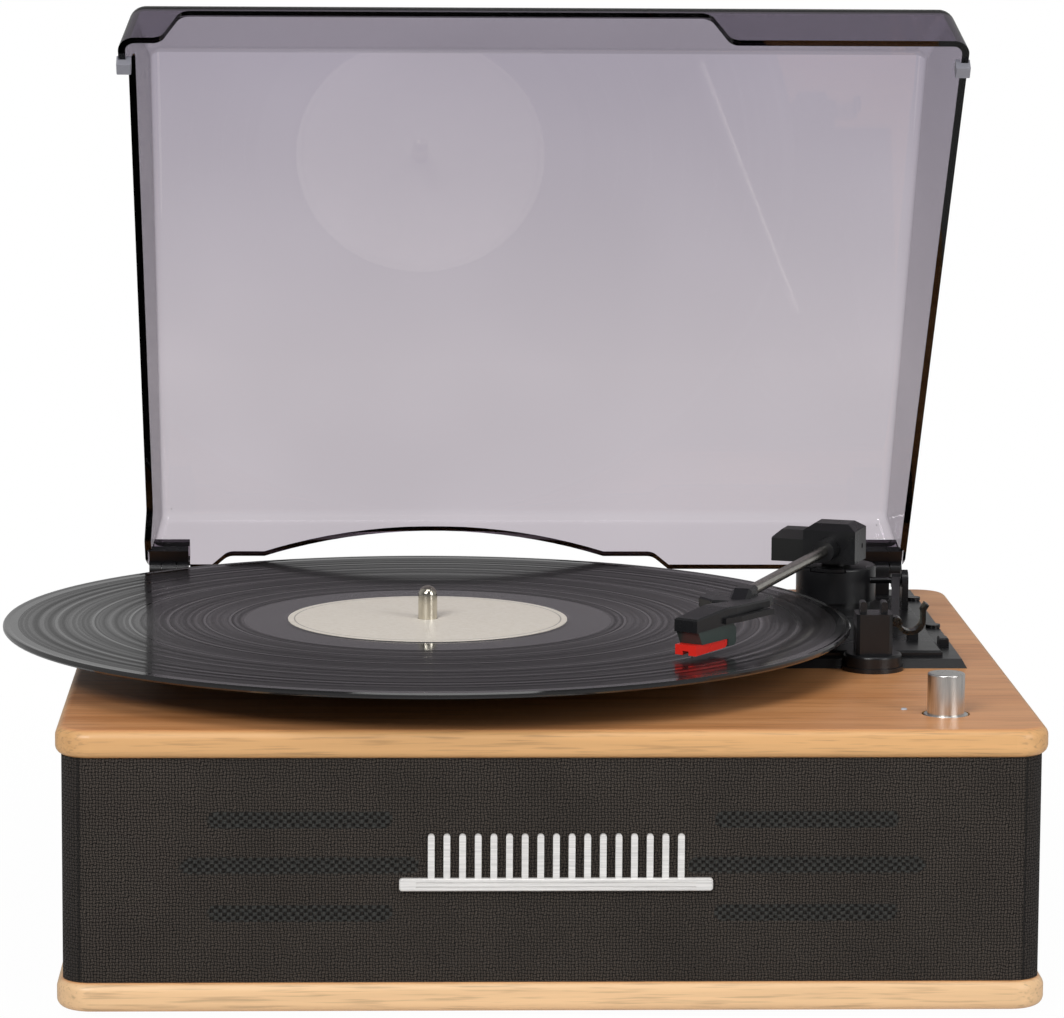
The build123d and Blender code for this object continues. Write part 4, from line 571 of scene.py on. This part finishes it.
def floor():
    """White to look at. Only 2% of the object's shadow shows close by, and none farther off."""
    bm = bmesh.new()
    bmesh.ops.create_grid(bm, x_segments=8, y_segments=8, size=FLOOR_HALF)
    mesh = bpy.data.meshes.new("floor")
    bm.to_mesh(mesh)
    ground = bpy.data.objects.new("floor", mesh)
    bpy.context.scene.collection.objects.link(ground)
    m = Material("floor_white", (0.9, 0.9, 0.9), 0.9)
    m.set("Specular IOR Level", 0.0)
    distance = m.node("ShaderNodeVectorMath", {0: m.place()}, operation="LENGTH").outputs["Value"]
    far = m.ramp(distance, (SHADOW_FROM, 0.0), (SHADOW_TO, 1.0))
    share = m.math("MULTIPLY", seen_rays(m.tree), m.between(far, FLOOR_GLOW, 1.0))
    strength = unless_mirrored(m.tree, 1.0, MIRRORED_FLOOR)
    white = m.node("ShaderNodeEmission", {"Color": (1.0, 1.0, 1.0), "Strength": strength})
    blend = m.node("ShaderNodeMixShader", {0: share})
    m.tree.links.new(m.shader.outputs[0], blend.inputs[1])
    m.tree.links.new(white.outputs[0], blend.inputs[2])
    m.tree.links.new(blend.outputs[0], m.tree.nodes["Material Output"].inputs["Surface"])
    mesh.materials.append(m.data)


def world():
    """White to look at, dimmer in reflections, and dimmest there towards the front."""
    sky = bpy.data.worlds.new("studio")
    bpy.context.scene.world = sky
    sky.use_nodes = True
    tree = sky.node_tree
    ambient = tree.nodes["Background"]
    ambient.inputs["Color"].default_value = (1.0, 1.0, 1.0, 1.0)
    ambient.inputs["Strength"].default_value = AMBIENT
    shown = tree.nodes.new("ShaderNodeBackground")
    coords = tree.nodes.new("ShaderNodeTexCoord")
    split = tree.nodes.new("ShaderNodeSeparateXYZ")
    tree.links.new(coords.outputs["Generated"], split.inputs[0])
    back = tree.nodes.new("ShaderNodeMapRange")
    back.inputs["From Min"].default_value = -0.5
    back.inputs["From Max"].default_value = 0.35
    back.inputs["To Min"].default_value = MIRRORED_FRONT
    back.inputs["To Max"].default_value = MIRRORED_BACK
    tree.links.new(split.outputs["Y"], back.inputs["Value"])
    tree.links.new(unless_mirrored(tree, 1.0, back.outputs[0]), shown.inputs["Strength"])
    mixer = tree.nodes.new("ShaderNodeMixShader")
    tree.links.new(seen_rays(tree), mixer.inputs[0])
    tree.links.new(ambient.outputs[0], mixer.inputs[1])
    tree.links.new(shown.outputs[0], mixer.inputs[2])
    tree.links.new(mixer.outputs[0], tree.nodes["World Output"].inputs["Surface"])


def softbox(name, place, aim, size, power):
    data = bpy.data.lights.new(name, "AREA")
    data.shape = "RECTANGLE"
    data.size, data.size_y = size
    data.energy = power
    lamp = bpy.data.objects.new(name, data)
    lamp.location = place
    lamp.rotation_euler = (Vector(aim) - Vector(place)).to_track_quat("-Z", "Y").to_euler()
    bpy.context.scene.collection.objects.link(lamp)


def camera():
    data = bpy.data.cameras.new("photo_camera")
    data.sensor_fit = "HORIZONTAL"
    data.sensor_width = 36.0
    data.lens = CAMERA_LENS_MM
    eye = bpy.data.objects.new("photo_camera", data)
    turn = Matrix.Rotation(CAMERA_YAW, 4, "Z")
    tilt = Matrix.Rotation(math.pi / 2 - CAMERA_PITCH, 4, "X")
    roll = Matrix.Rotation(-CAMERA_ROLL, 4, "Z")
    eye.matrix_world = Matrix.Translation(CAMERA_PLACE) @ turn @ tilt @ roll
    bpy.context.scene.collection.objects.link(eye)
    bpy.context.scene.camera = eye


record_low, record_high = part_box("record")
record_center = (record_low + record_high) / 2

black = plastic("black_plastic", (0.007, 0.007, 0.008), 0.29)
paint(wood("oak_top", (0.0, 0.3, 0.0), TOP_EDGE_WITH_PAINTED_LIGHT), "top_board")
paint(wood("oak_base", (3.1, 1.7, 0.6), BASE_EDGE_WITH_PAINTED_LIGHT), "base_board")
paint(fibreboard(), "front_baffle", "left_panel", "right_panel", "rear_panel")
paint(plastic("foot_rubber", (0.02, 0.02, 0.02), 0.8, 0.0001), "rubber_feet", "platter_mat", "drive_belt")
paint(metal("badge_metal", (0.90, 0.88, 0.86), 0.34, (0.05, 3, 3), 0.00001, 0.25), "badge_bar", "badge_fins")
paint(
    black, "deck_plate", "arm_turret", "lift_platform", "cue_lever", "cue_bracket", "arm_rest_post",
    "speed_switch", "auto_stop_switch", "hinge_arm_left", "hinge_arm_right", "hinge_base_left",
    "hinge_base_right", "arm_housing", "headshell", "finger_lift", "jack_plate",
)
paint(plastic("weight_metal", (0.012, 0.012, 0.012), 0.33), "counterweight", "arm_yoke")
paint(metal("tube_metal", (0.66, 0.63, 0.56), 0.17, (1, 0.05, 1)), "arm_tube", "stylus")
paint(metal("steel", (0.58, 0.58, 0.57), 0.28), "base_screws", "pot_shaft", "hinge_pins", "motor")
paint(
    metal("black_steel", (0.055, 0.055, 0.057), 0.22), "deck_screws", "cue_shaft", "clip_pin",
    "arm_pivot_pin",
)
paint(metal("spindle_metal", (0.80, 0.75, 0.64), 0.16, (1, 1, 0.1)), "spindle")
paint(
    metal("bronze", (0.70, 0.50, 0.24), 0.30), "bearing_bush", "motor_pulley", "cartridge_pins",
    "rear_jacks",
)
paint(plastic("platter_metal", (0.02, 0.02, 0.02), 0.4), "platter")
paint(vinyl(record_center), "record")
paint(paper_label(record_center), "record_label")
paint(plastic("cartridge_plastic", (0.035, 0.05, 0.045), 0.35), "cartridge")
paint(plastic("red_plastic", (0.70, 0.020, 0.012), 0.28, 0.00002), "stylus_holder")
paint(tinted_acrylic("smoke_plastic", (0.45, 0.47, 0.40), 1500.0, 0.25), "arm_clip")
paint(tinted_acrylic("lid_acrylic", LID_TINT, LID_TINT_DENSITY, 0.03, LID_TONES), "lid_cover")
paint(plastic("bumper_rubber", (0.22, 0.22, 0.25), 0.35), "lid_bumpers")
paint(metal("knob_metal", (0.86, 0.84, 0.81), 0.29, (1, 1, 0.06)), "volume_knob")
paint(metal("pot_metal", (0.55, 0.55, 0.53), 0.35), "potentiometer")
paint(plastic("lamp_lens", (0.50, 0.53, 0.58), 0.2), "power_led")
paint(plastic("speaker_metal", (0.03, 0.03, 0.03), 0.4), "speaker_left", "speaker_right")
paint(plastic("cone_paper", (0.03, 0.03, 0.03), 0.9, 0.0002), "speaker_cones")
paint(plastic("circuit", (0.02, 0.14, 0.05), 0.4), "amp_board")

grille_cloth()
floor()
world()
for name, (place, aim, size, power) in SOFTBOXES.items():
    softbox(name, place, aim, size, power)
camera()

bpy.context.scene.view_settings.view_transform = "Standard"
